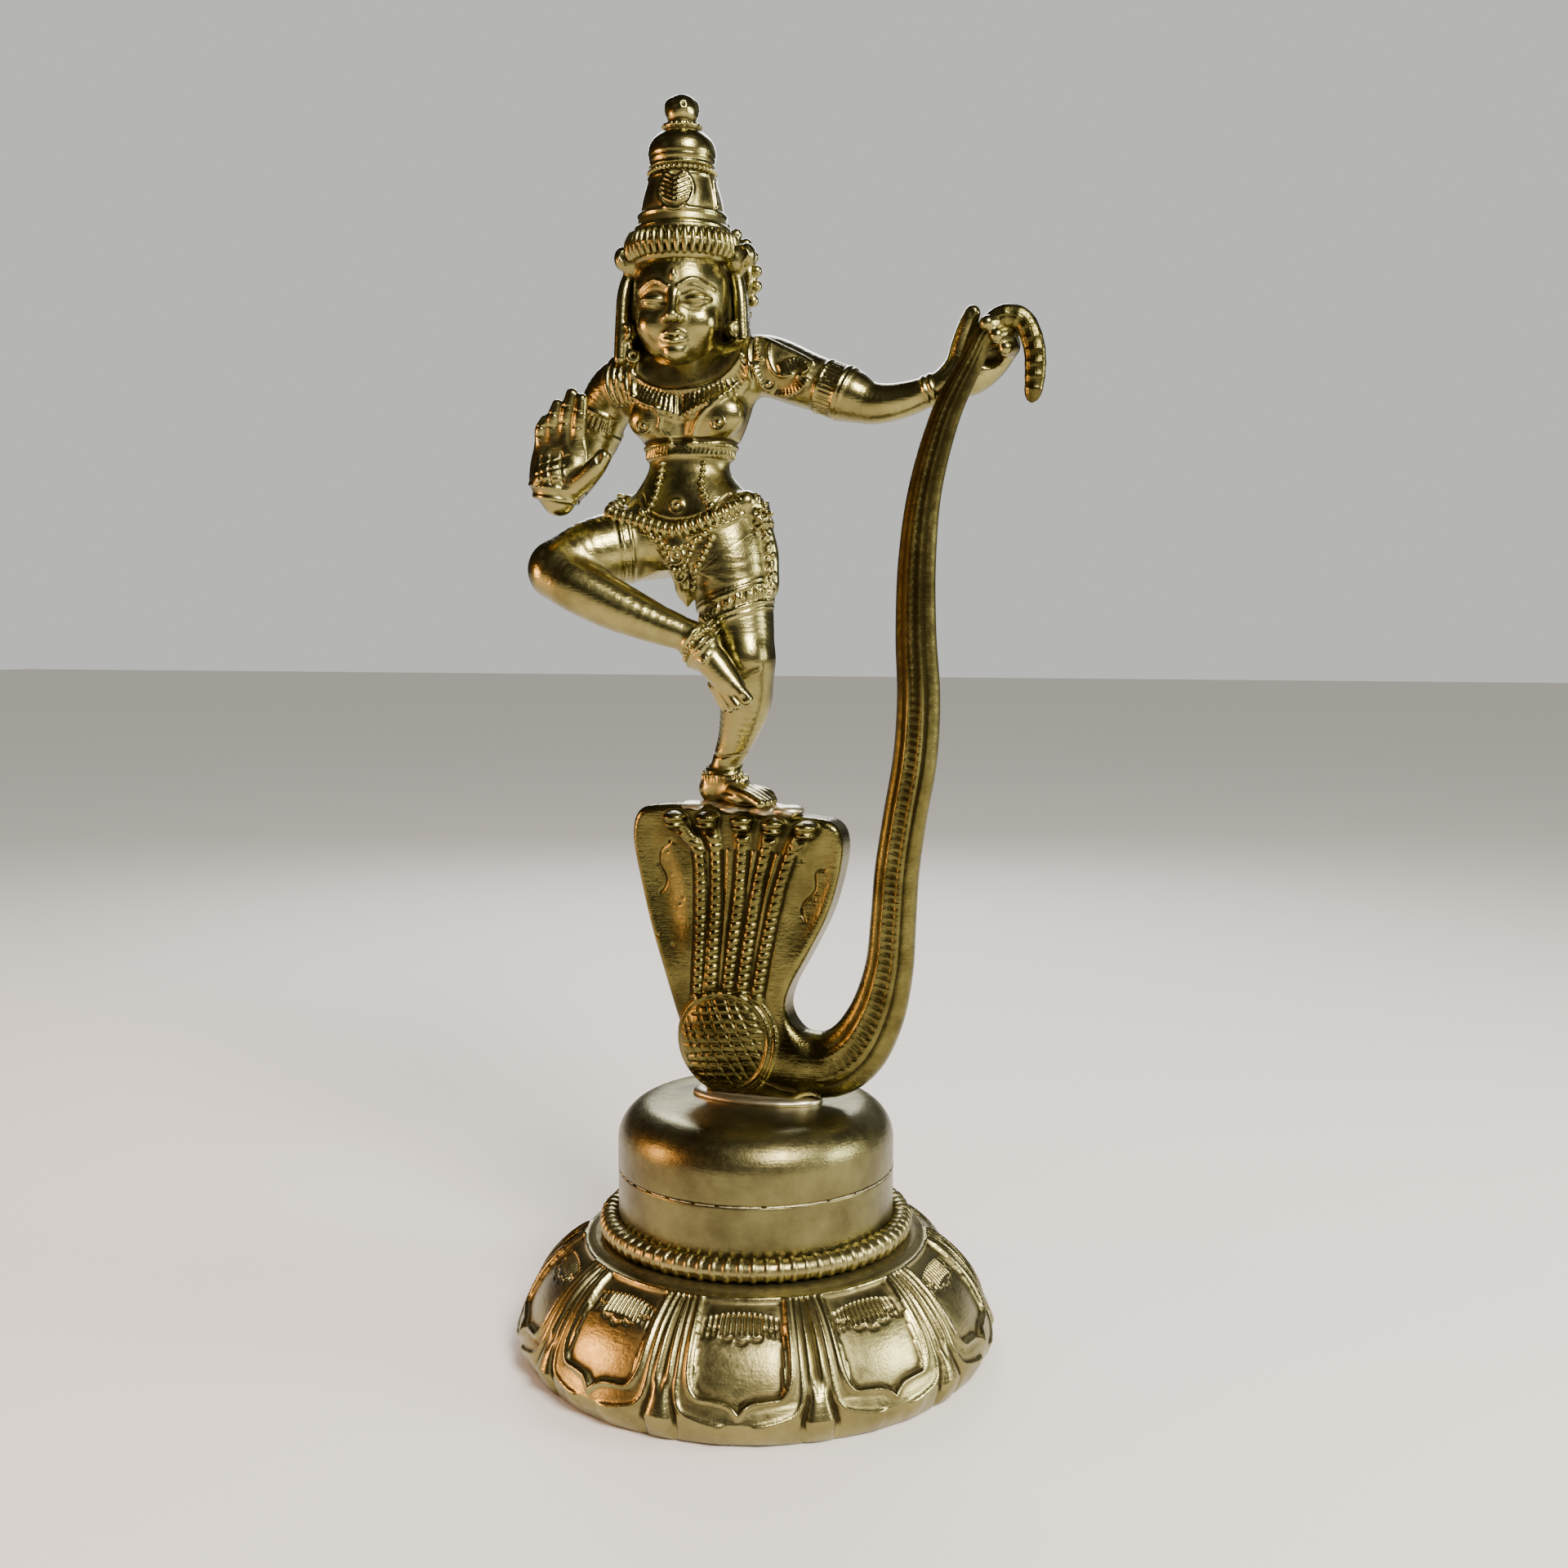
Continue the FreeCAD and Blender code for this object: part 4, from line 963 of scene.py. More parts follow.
for k, neck in enumerate(NECKS):
    path = [(x, -PLATE_HALF + (0.35 if i < 4 else 0.1 - 0.9 * (i - 4)), z) for i, (x, z) in enumerate(neck)]
    hood.press(*rod(path, (1.15, 1.1, 1.05, 1.15, 1.35, 1.4)), blend=0.5)
    line = curved(neck[:5], 60)
    run = np.concatenate([[0], np.cumsum(np.linalg.norm(np.diff(line, axis=0), axis=1))])
    spots = np.arange(0.6, run[-1] - 0.5, NECK_PITCH)
    xs, zs = np.interp(spots, run, line[:, 0]), np.interp(spots, run, line[:, 1])
    for i, (x, z) in enumerate(zip(xs, zs)):
        ends = hood.onto([(x + s, -9.0, z - 0.1 * (1 - s * s)) for s in np.linspace(-1.05, 1.05, 8)], FRONT)
        hood.trace(ends, 0.24 if z < 72 else 0.17, cut=True)
    for side in (-1, 1):
        edge = [(x + side * (1.3 - 0.1 * (z > 75)), -9.0, z) for x, z in curved(neck[:4], 8)]
        hood.trace(hood.onto(edge, FRONT), 0.2, 0.25, cut=True)
    # the small head: a blunt cap over a thinner jaw
    x, z = neck[-1]
    hood.press(ball((x, -PLATE_HALF - 0.8, z + 0.35), (2.0, 1.9, 0.95)), blend=0.4)
    hood.press(ball((x, -PLATE_HALF - 0.9, z - 0.85), (1.75, 1.7, 0.62)), blend=0.2)
    hood.press(ball((x, -PLATE_HALF - 1.0, z - 2.0), (1.5, 0.7, 0.5)), blend=0.4, cut=True)
for a, b in zip(NECKS, NECKS[1:]):
    middle = [
        ((p[0] + q[0]) / 2, -9.0, (p[1] + q[1]) / 2) for p, q in zip(curved(a[:4], 6), curved(b[:4], 6))
    ]
    hood.trace(hood.onto(middle, FRONT), 0.22, 0.3)

# the scaled oval: a low dome, a double rim and a net of cut lines
OVAL_X, OVAL_Z = -4.3, 50.7
OVAL_HALF = (7.9, 8.0)
hood.press(ball((OVAL_X, -PLATE_HALF + 0.2, OVAL_Z), (OVAL_HALF[0], 2.5, OVAL_HALF[1])), blend=0.6)
for share, first, last, wire in ((1.0, 0, 360, 0.46), (1.13, -75, 62, 0.34)):
    rim = []
    for a in np.radians(np.linspace(first, last, 73)):
        rim.append(
            (OVAL_X + OVAL_HALF[0] * share * math.cos(a), -9.0, OVAL_Z + OVAL_HALF[1] * share * math.sin(a))
        )
    hood.trace(hood.onto(rim, FRONT), wire, 0.4)
draw = np.random.default_rng(17)
for slant, pitch, count in ((0.10, 1.6, 5), (-1.10, 1.75, 4)):
    way = np.array([math.cos(slant), 0, math.sin(slant)])
    off = np.array([-way[2], 0, way[0]])
    for k in range(-count, count + 1):
        shift = draw.uniform(-0.22, 0.22)
        bend = draw.uniform(-0.012, 0.012)
        spots = []
        for s in np.linspace(-8, 8, 41):
            p = np.array([OVAL_X, -9.0, OVAL_Z]) + way * s + off * (k * pitch + shift + bend * s * s)
            if math.hypot((p[0] - OVAL_X) / OVAL_HALF[0], (p[2] - OVAL_Z) / OVAL_HALF[1]) < 0.90:
                spots.append(p)
        if len(spots) > 3:
            hood.trace(hood.onto(spots, FRONT) - (0, 0.02, 0), 0.2, 0.12, cut=True)

# cut lines: a curl on each cheek, folds below the oval, and two along the belly
CUT_LINES = [
    [
        (-13.6, 83.4), (-14.4, 82.6), (-15.7, 81.4), (-15.9, 79.2), (-14.9, 77.2), (-15.1, 75.6),
        (-16.0, 74.4)
    ],
    [(12.6, 79.6), (11.0, 79.0), (10.8, 76.2), (8.9, 74.0), (8.6, 72.6), (9.2, 71.2)],
    [(-8.0, 43.8), (-5.4, 42.9), (-2.6, 42.8)], [(2.6, 44.9), (5.4, 43.9), (8.2, 43.6)]
]
for line in CUT_LINES:
    path = hood.onto([(x, -9.0, z) for x, z in curved(line, 6)], FRONT)
    hood.trace(path, 0.2, cut=True)
draw = np.random.default_rng(19)
for _ in range(16):
    x, z = draw.uniform(-17, -10.5) if draw.random() < 0.6 else draw.uniform(6, 12), draw.uniform(64, 84)
    pit = hood.onto([(x, -9.0, z)], FRONT)[0]
    hood.press(ball(pit, (draw.uniform(0.15, 0.4), 0.2, draw.uniform(0.12, 0.3))), blend=0.15, cut=True)

TAIL_DEPTH = 0.74
TAIL = [  # x, y, z, half width
    (-1.0, 0.0, 48.6, 2.4),
    (3.6, 0.0, 47.8, 4.3),
    (8.4, 0.0, 47.3, 5.2),
    (13.0, 0.0, 47.6, 5.4),
    (17.3, 0.0, 50.6, 5.1),
    (20.6, 0.0, 56.4, 4.5),
    (22.6, -0.2, 63.8, 3.95),
    (23.3, -0.4, 71.5, 3.7),
    (23.9, -0.6, 79.5, 3.6),
    (25.2, -1.0, 88.0, 3.5),
    (26.9, -1.4, 97.6, 3.5),
    (27.5, -1.8, 107.0, 3.4),
    (27.1, -2.2, 117.0, 3.2),
    (27.3, -2.6, 128.0, 2.95),
    (28.6, -3.0, 138.8, 2.6),
    (31.6, -3.2, 149.4, 2.3),
    (35.6, -3.4, 157.4, 1.9),
    (37.6, -3.4, 161.4, 1.75),
    (40.2, -3.2, 163.7, 1.7),
    (43.2, -3.0, 163.0, 1.65),
    (44.9, -3.0, 159.2, 1.6),
    (45.1, -3.0, 154.8, 1.5),
    (44.6, -3.0, 150.8, 1.1),
]
hood_piece = hood.cast("serpent_hood", serpent_brass)
keep(hood_piece, "serpent_brass", "serpent_hood")


TAIL_STEP = 0.3  # from ring to ring
DASH_PITCH, RIB_PITCH = 1.25, 1.9
HOOK_START = 134.0  # along the tail


def tail_mesh():
    """The tail as rings across its path: two ridges run down its front with punched dashes between."""
    line = curved(TAIL, 34)
    steps = np.linalg.norm(np.diff(line[:, :3], axis=0), axis=1)
    run = np.concatenate([[0], np.cumsum(steps)])
    even = np.arange(0, run[-1], TAIL_STEP)
    path = np.stack([np.interp(even, run, line[:, k]) for k in range(4)], -1)
    ahead = np.gradient(path[:, :3], axis=0)
    ahead /= np.linalg.norm(ahead, axis=1, keepdims=True)
    side = np.cross(ahead, (0.0, 1.0, 0.0))
    side /= np.linalg.norm(side, axis=1, keepdims=True)
    back = np.cross(side, ahead)
    turn = np.linspace(0, 2 * math.pi, 65)[:-1]
    half = path[:, 3]
    end = np.clip((even[-1] - even) / 1.6, 0, 1)
    half = half * np.sqrt(np.maximum(1 - (1 - end) ** 2, 0.02))
    across, deep = np.cos(turn), np.sin(turn)
    front = np.clip(-deep, 0, 1)
    ridge = bump_of(np.abs(across)[None] - 0.33, 0.075) * front[None]
    groove = bump_of(np.abs(across)[None] - 0.50, 0.07) * front[None]
    row = bump_of(np.mod(even, DASH_PITCH) / DASH_PITCH - 0.5, 0.17)[:, None]
    rows_end = np.interp(even, [12, 20, 70, 86, 130, 136], [0, 1, 1, 0.3, 0.3, 0])[:, None]
    keel = bump_of(across[None] - 0.08, 0.05) * front[None] * np.interp(even, [72, 86], [0, 1])[:, None]
    dash = row * bump_of(across[None], 0.19) * front[None] * rows_end
    hook = np.clip((even - HOOK_START) / 4, 0, 1)[:, None]
    ribs = bump_of(np.mod(even, RIB_PITCH) / RIB_PITCH - 0.5, 0.2)[:, None] * hook * 0.16
    plain = np.interp(even, [70, 84], [1, 0.3])[:, None]
    relief = (0.42 * ridge - 0.28 * groove) * plain - 0.34 * dash + 0.34 * keel
    relief = relief * np.clip(half / 2.6, 0.4, 1)[:, None] * (1 - 0.6 * hook) + ribs
    flat = 0.97 - 0.10 * front[None] ** 2
    reach_x = half[:, None] * across[None] + relief * across[None] * 0.3
    reach_y = half[
        :, None
    ] * TAIL_DEPTH * deep[None] * flat + relief * np.sign(deep)[None] * np.abs(deep)[None]
    points = path[:, None, :3] + side[:, None] * reach_x[..., None] + back[:, None] * reach_y[..., None]
    n, m = points.shape[:2]
    corners = np.vstack([points.reshape(-1, 3), path[:1, :3], path[-1:, :3]])
    i, j = np.meshgrid(np.arange(n - 1), np.arange(m), indexing="ij")
    a, b = i * m + j, i * m + (j + 1) % m
    faces = np.stack([a, b, b + m, a + m], -1).reshape(-1, 4).tolist()
    for k in range(m):  # the two ends
        faces.append((n * m, (k + 1) % m, k))
        faces.append((n * m + 1, (n - 1) * m + k, (n - 1) * m + (k + 1) % m))
    made = mesh_object("serpent_tail", corners, faces, serpent_brass)
    # painted shade: the tail's upright stretch is darkened all round, and most on its front, through the
    # stain tone
    painted_shade = (0.35 + 0.4 * front[None]) * np.interp(even, [50, 80, 128, 134], [0, 1, 1, 0])[:, None]
    sunk = np.clip(-relief * 2.2 * (np.abs(deep)[None] > 0.05), -1, 1) + 0.35 * groove
    set_hollow_and_shade(made, np.concatenate([(sunk * (1 - 0.8 * hook) + painted_shade).ravel(), [0, 0]]))
    closed_outwards(made)
    return made


tail = tail_mesh()
keep(tail, "serpent_brass", "serpent_tail")

# brazing metal: a low ragged collar where the belly stands on the cap
low, high = box_of("serpent_braze")
collar = Clay(low - 2.5, high + 2.5, 0.2)
draw = np.random.default_rng(21)
centre, half = (low + high) / 2, (high - low) / 2
for a in np.linspace(0, 2 * math.pi, 46, endpoint=False):
    size = draw.uniform(0.55, 1.0)
    spot = (
        centre[0] + (half[0] - 0.5) * math.cos(a), centre[1] + (half[1] - 1.0) * math.sin(a), low[2] + 0.1
    )
    collar.press(ball(spot, (size * 1.3, size, size * 0.8)), blend=0.8)
collar.press(ball((centre[0], centre[1], low[2] + 0.3), (half[0] + 0.6, half[1] + 0.2, 1.0)), blend=0.8)
collar_piece = collar.cast("serpent_braze", braze_metal)
keep(collar_piece, "braze_metal", "serpent_braze")


# ---- figure, in wax
# The dancer was modelled as one wax figure and cast in parts. These are its plain limbs, in
# millimetres from the middle of the standing sole; each part below is cut out of them and chased.
figure_brass = aged_brass("satin_cast_brass_figure", "948C58", "726A3F", "261D0C", 0.27)
low, high = box_of("foot_braze")
SOLE = ((low[0] + high[0]) / 2, 0.0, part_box("standing_leg")[0][2] / MM)
HEAD_X = -9.2
FACE_TURN = math.radians(12.0)
INWARD = (0, 1, 0)
BEFORE_FIGURE = -19.0  # y of a plane in front of the whole figure
TRUNK = [  # height, x, y, half width, half depth
    (37.5, -6.4, 0.0, 9.4, 6.6), (41.0, -7.4, 0.2, 11.2, 7.0), (45.6, -8.9, 0.2, 11.8, 7.2),
    (50.0, -8.5, 0.0, 8.9, 6.0), (54.0, -8.2, -0.2, 6.7, 4.9), (57.0, -7.9, 0.0, 7.7, 5.2),
    (60.6, -7.8, 0.0, 9.3, 5.6), (64.4, -8.2, 0.1, 10.8, 5.7), (68.6, -8.6, 0.5, 11.2, 4.7),
    (71.5, -8.8, 0.8, 8.6, 3.9), (74.0, -9.0, 1.0, 4.6, 3.6),
]
FLESH = [  # centre and half sizes of the breasts, the belly and the buttocks
    ((-12.9, -3.5, 61.8), (4.3, 2.7, 3.5)), ((-1.7, -3.5, 61.8), (4.3, 2.7, 3.5)),
    ((-7.7, -3.0, 48.4), (5.8, 3.2, 4.8)),
    ((-13.0, 5.2, 43.0), (5.6, 3.6, 5.0)), ((-3.2, 5.2, 43.0), (5.6, 3.6, 5.0)),
]
LIMBS = {  # the path of each limb and how thick it is along it
    "neck": ([(-8.9, 1.0, 70.0), (-9.2, 0.2, 76.5)], (4.4, 4.0)),
    "left_arm": (
        [(-16.4, 0.6, 68.4), (-20.4, 0.9, 67.6), (-23.4, 1.3, 64.6), (-25.4, 1.2, 59.8)],
        (4.2, 4.6, 4.3, 3.8),
    ),
    "right_arm": (
        [(-0.8, 0.5, 69.4), (4.7, 0.5, 69.7), (11.8, 0.3, 67.0), (18.4, 0.1, 64.5)],
        (4.4, 4.7, 4.25, 3.8),
    ),
    "standing": (
        [(-3.6, 0.2, 44.5), (-1.6, -0.2, 38.5), (0.2, -1.0, 31.2), (1.7, -2.0, 26.4), (2.3, -2.5, 23.4)],
        (7.0, 6.8, 5.9, 4.95, 4.5),
    ),
    "raised": (
        [(-11.5, -0.3, 43.6), (-17.0, -2.8, 42.0), (-22.0, -7.6, 40.4), (-26.0, -11.6, 37.9)],
        (6.4, 6.0, 5.3, 4.3),
    ),
}
WAX = {"trunk": [stack(TRUNK)], "front": [ball(*lump) for lump in FLESH]}
WAX.update({name: rod(*limb) for name, limb in LIMBS.items()})


def wax_figure(clay, *names):
    """Presses these limbs of the plain figure, always in the same order, so that parts agree."""
    for name in WAX:
        if name in names:
            clay.press(*WAX[name], blend=2.4 if name != "front" else 1.6)
    return clay


def girdle(clay, centre, level, first=0.0, last=360.0, steps=97, reach=14.0):
    """Points on the skin round an upright axis. level is the height at an angle from the front."""
    degrees = np.linspace(first, last, steps)
    turn = np.radians(degrees)
    way = np.stack([np.sin(turn), -np.cos(turn), 0 * turn], -1)
    spots = way * reach + (*centre, 0.0)
    spots[:, 2] = level(degrees)
    return clay.onto(spots, -way, reach)


def cuff(clay, centre, axis, reach, first=0.0, last=360.0, steps=49):
    """Points on the skin round a slanted limb, seen from rays that aim at its axis."""
    n = np.array(axis, float) / np.linalg.norm(axis)
    u = np.cross(n, (0, 1, 0))
    u /= np.linalg.norm(u)
    v = np.cross(n, u)
    turn = np.radians(np.linspace(first, last, steps))[:, None]
    way = np.cos(turn) * u + np.sin(turn) * v
    return clay.onto(np.array(centre) + way * reach, -way, reach)


def seen(clay, points, steps=6):
    """A smooth line drawn on the skin as (x, z) points, thrown on it from the front."""
    path = curved(points, steps) if steps else points
    return clay.onto([(x, BEFORE_FIGURE, z) for x, z in path], INWARD, 26.0)


def ticked(clay, path, half, wire, lean=0.0):
    """Short strokes across a line on the skin, half long on each side."""
    for spot, ahead in zip(path, np.gradient(path, axis=0)):
        t = ahead / max(np.linalg.norm(ahead), 1e-6)
        up = np.array([0, 0, 1.0]) - t * t[2]
        up = up / max(np.linalg.norm(up), 1e-6) + t * lean
        clay.press(cone(spot - up * half, spot + up * half, wire, wire), blend=0.2)


def shoulder_locks(clay):
    """The locks of hair that fall over the left shoulder, across the joint with the arm."""
    for k in range(5):
        lock = [
            (-19.6 + k * 1.1, 74.0), (-20.8 + k * 1.15, 71.0), (-21.0 + k * 1.2, 67.6),
            (-20.0 + k * 1.0, 64.6)
        ]
        clay.trace(seen(clay, lock), 0.55, 0.35)


STRAP = [(3.2, 73.6), (3.4, 71.0), (3.7, 67.6), (3.2, 66.2)]  # over the right shoulder


def in_place(points):
    """Figure millimetres as scene millimetres."""
    return np.asarray(points) + SOLE


# ---- torso
# Hips, waist and chest in one casting: pleated collar with a pendant, ringed nipples and navel, a
# double chest band, and the roll belt with its loops, sash and tassel are chased on it.
torso = Clay((-26, -11.5, 29), (8.5, 10.5, 77), 0.22)
wax_figure(torso, *WAX)
CHEST_X = -7.6
CLEFT = [(-7.6, 64.2), (-7.4, 61.0), (-7.5, 58.4)]
torso.trace(seen(torso, CLEFT), 0.5, 1.6, cut=True)
torso.trace(girdle(torso, (-8.2, 0), lambda a: 72.4, -50, 50, 25, 6.5), 0.35, 0.5)

COLLAR_TOP = [(-9.9, 71.0), (-8.6, 69.0), (-6.2, 67.2), (-3.2, 66.1), (0.0, 65.7)]
COLLAR_FOOT = [(-11.6, 69.0), (-9.6, 66.2), (-6.6, 64.1), (-3.4, 62.9), (0.0, 61.6)]
PLEATS = 33


def both_sides(points):
    """The whole line from its left half."""
    half = curved(points, 12)
    return np.vstack([half, (half * (-1, 1))[-2::-1]]) + (CHEST_X, 0)


def spread(line, count):
    """Points evenly spaced along a line."""
    run = np.concatenate([[0], np.cumsum(np.linalg.norm(np.diff(line, axis=0), axis=1))])
    at = np.linspace(0, run[-1], count)
    return np.stack([np.interp(at, run, line[:, k]) for k in range(line.shape[1])], -1)


collar_top, collar_foot = both_sides(COLLAR_TOP), both_sides(COLLAR_FOOT)
tops = seen(torso, spread(collar_top, PLEATS), 0)
feet = seen(torso, spread(collar_foot, PLEATS), 0)
skin_top, skin_foot = seen(torso, spread(collar_top, 70), 0), seen(torso, spread(collar_foot, 70), 0)
for a, b in zip(tops, feet):
    torso.press(cone(a + (b - a) * 0.1, a + (b - a) * 0.86, 0.30, 0.46), blend=0.15)
    torso.press(ball(b + (0, -0.1, 0.1), 0.52), blend=0.2)
torso.trace(skin_top + (0, -0.15, 0), 0.42, 0.3)
torso.trace(skin_foot + (0, 0.1, -0.75), 0.26, 0.3)

for x, z, wire, button, blend in (  # the nipples and the navel
    (-13.7, 60.2, 0.24, 0.5, 0.25), (-0.9, 60.2, 0.24, 0.5, 0.25), (-7.6, 47.6, 0.26, 0.42, 0.3)
):
    torso.ringed(seen(torso, [(x, z)], 0)[0], 1.0, wire, button, blend)

for line in (
    [(-11.4, 63.2), (-10.6, 61.6), (-10.9, 59.8), (-9.6, 58.4), (-9.2, 57.2)],
    [(1.2, 66.4), (-0.8, 64.0), (-3.6, 61.8), (-5.0, 59.8), (-5.6, 57.4)]
):
    torso.trace(seen(torso, line), 0.3, 0.4)

BAND_CENTRE = (-8.1, -0.1)


def band_level(z):
    """Height of a line round the chest that dips a little at the back."""
    return lambda a: z + 0.4 * np.cos(np.radians(a))


for z, wire, cut in ((57.7, 0.3, True), (57.1, 0.26, False), (55.3, 0.26, False)):
    line = girdle(torso, BAND_CENTRE, band_level(z), reach=10.5)
    torso.trace(line, wire, 0.3, cut=cut)
band = girdle(torso, BAND_CENTRE, band_level(56.2), steps=58, reach=10.5)
ticked(torso, band, 0.65, 0.24, lean=0.2)

BELLY_LINE = [
    (-14.6, 49.2), (-12.4, 46.6), (-9.8, 45.3), (-7.2, 45.0), (-4.4, 45.4), (-1.8, 46.8), (0.2, 49.2)
]
torso.trace(seen(torso, BELLY_LINE), 0.45, 0.4, cut=True)


def belt_level(a):
    """Height of the low-slung belt, lowest at the front."""
    a = np.abs((np.asarray(a) + 180) % 360 - 180)
    return 43.7 + 5.0 * np.clip(a / 78, 0, 1) ** 1.7 - 1.2 * np.clip((a - 90) / 90, 0, 1)


belt_path = girdle(torso, (-8.2, 0.2), belt_level, steps=145)[:-1]
torso.trace(np.vstack([belt_path, belt_path[:1]]), 0.5, 0.6)
hem = girdle(torso, (-8.2, 0.2), lambda a: belt_level(a) - 1.6, 20, 340, 121)
torso.trace(hem, 0.3, 0.3)

# the knotted sash: coarse folds that stand out at both hips
SASH = [  # x, y, z and size of its folds
    (2.4, -2.2, 48.2, 1.9), (3.6, -1.0, 46.6, 2.3), (4.0, 0.4, 44.6, 2.2), (3.0, 1.8, 47.2, 2.0),
    (3.9, 0.9, 42.6, 1.7), (-18.6, -2.0, 48.4, 1.7), (-19.4, -0.6, 47.0, 1.9), (-17.4, 0.8, 48.8, 1.8),
]
torso.press(*[ball(place, (size * 0.9, size, size)) for *place, size in SASH], blend=1.2)
draw = np.random.default_rng(31)
for centre, count in (((3.6, -0.6, 45.9), 46), ((-18.8, -1.2, 48.0), 30)):
    for _ in range(count):
        outwards = np.sign(centre[0] - HEAD_X)
        way = draw.normal(size=3) + (0.5 * outwards, -0.6, 0.1)
        way[0] = abs(way[0]) * outwards
        way /= np.linalg.norm(way)
        spot = torso.onto([np.array(centre) + way * 6.5], -way, 9.0)[0]
        torso.press(ball(spot, draw.uniform(0.28, 0.5)), blend=0.2)
        side = torso.onto([np.array(centre) + way * 6.5 + draw.normal(size=3) * 0.6], -way, 9.0)[0]
        torso.press(ball(side, draw.uniform(0.2, 0.4)), blend=0.15, cut=True)

# the loin cloth: a gathered end between the thighs, with a rosette
torso.press(cone((-8.2, -4.6, 41.5), (-7.4, -3.4, 33.4), 3.1, 1.5), blend=1.0)
torso.press(cone((-7.6, -3.6, 34.5), (-7.3, -3.2, 31.4), 1.9, 1.0), blend=0.6)
for k in range(-3, 4):
    fold = [(-7.8 + k * 0.95, 38.2), (-7.5 + k * 0.75, 34.6), (-7.2 + k * 0.42, 31.6)]
    torso.trace(seen(torso, fold), 0.22, cut=True)
for x, z, size in ((-7.6, 39.6, 1.15), (-7.5, 36.6, 0.8)):
    torso.ringed(seen(torso, [(x, z)], 0)[0], size, 0.3, size * 0.45, 0.3)

# locks of hair that fall over the left shoulder, and the strap at the right one
shoulder_locks(torso)
torso.trace(seen(torso, STRAP), 0.42, 0.35)

# the back: a furrow down the spine and a seam where the garment begins
spine = torso.onto([(-8.4, 14.0, z) for z in np.linspace(70, 50, 30)], (0, -1, 0), 22.0)
torso.trace(spine, 0.45, 1.2, cut=True)

# strings of beads that hang from the band and the belt
LOOPS = [
    [(-10.9, 54.4), (-11.1, 52.0), (-11.3, 50.0), (-12.0, 48.0), (-13.4, 46.4)],
    [(-4.2, 54.4), (-4.1, 52.0), (-3.8, 50.0), (-2.9, 48.2), (-1.4, 46.8)],
    [(-1.6, 42.4), (-3.2, 39.4), (-4.8, 36.8), (-5.6, 34.8)],
    [(-12.6, 43.8), (-10.2, 41.6), (-7.6, 40.9), (-4.6, 41.8), (-2.4, 43.4), (0.6, 45.6)],
    [(-10.4, 42.6), (-8.8, 38.2), (-7.5, 37.5), (-6.2, 38.4), (-4.4, 42.0)]
]
loops = [seen(torso, line) for line in LOOPS]

torso.sink((-14.6, -1.2, 43.0), (-0.76, -0.24, -0.60))
torso.sink((-1.2, 0.0, 39.2), (0.62, 0.0, -0.78))
torso.sink((-19.4, 0.0, 67.5), (-0.92, 0.0, 0.39))
torso.sink((2.9, 0.0, 69.0), (0.92, 0.0, 0.39))
torso_piece = torso.cast("torso", figure_brass, SOLE)
keep(torso_piece, "figure_brass", "torso")

# beads and the belt's roll, strung round the torso
belt = beads_along(
    "belt_roll", [in_place(belt_path)], 1.25, (0.66, 1.45, 1.15), 0.85, figure_brass, closed=True,
    uneven=0.14, seed=2
)
keep(belt, "figure_brass")
ladders = beads_along(
    "chest_beads", [in_place(path) for path in loops[:2]], 1.1, (0.48, 0.85, 0.6), 0.3, figure_brass,
    uneven=0.2, seed=6
)
keep(ladders, "figure_brass")
strings = beads_along(
    "torso_beads", [in_place(path) for path in loops[2:]], 1.1, (0.58, 0.6, 0.6), 0.25, figure_brass,
    uneven=0.12, seed=3
)
keep(strings, "figure_brass")


# ---- legs
# The standing leg is bent at the knee and its foot is brazed on the hood; the raised leg is
# folded across it. Both carry ornaments at thigh and ankle that were chased after casting.
leg = Clay((-13, -10.5, -1.5), (10.5, 8.5, 45.5), 0.22)
wax_figure(leg, "trunk", "front", "standing", "raised")
SHIN = [
    (2.3, -2.5, 23.4), (2.2, -1.7, 20.0), (1.5, -0.5, 16.2), (-0.4, 0.7, 11.0), (-2.3, 1.2, 7.0),
    (-3.2, 1.3, 4.4)
]
leg.press(*rod(SHIN, (4.5, 4.25, 4.05, 3.05, 2.4, 2.35)), blend=1.2)
leg.press(ball((0.6, 1.6, 17.0), (3.3, 3.4, 5.0)), blend=1.6)
leg.press(ball((2.6, -3.9, 23.9), (3.3, 3.0, 3.3)), blend=1.6)
knee = [(-1.4, 22.3), (0.6, 21.2), (3.2, 21.0), (5.6, 22.0)]
leg.trace(seen(leg, knee), 0.28, 0.5, cut=True)

FOOT_WAY = np.array([0.91, -0.41, 0.0])
FOOT_SIDE = np.array([0.41, 0.91, 0.0])
HEEL = np.array([-4.6, 1.7, 0.0])


def on_foot(ahead, aside, up):
    """A point of the standing foot: ahead of the heel, aside to its outer edge, and up."""
    return HEEL + FOOT_WAY * ahead + FOOT_SIDE * aside + (0, 0, up)


leg.press(ball(on_foot(0.2, 0, 1.9), (2.9, 2.6, 2.3)), blend=1.2)
leg.press(
    *rod([on_foot(0.6, 0, 3.2), on_foot(4.0, 0, 2.9), on_foot(7.4, 0, 1.7)], (2.5, 2.35, 1.6)), blend=1.4
)
leg.press(ball(on_foot(6.4, 0, 1.3), (4.3, 3.0, 1.55), (FOOT_WAY, FOOT_SIDE, (0, 0, 1))), blend=1.0)
for k in range(5):
    aside = (k - 2) * 1.22
    long = 13.2 - 0.42 * abs(k - 0.6) ** 1.5
    toe = [on_foot(5.6, aside * 0.72, 2.5), on_foot(9.4, aside, 1.9), on_foot(long, aside * 1.12, 0.75)]
    leg.press(*rod(toe, (0.8, 0.82, 0.68 if k else 0.85)), blend=0.2)


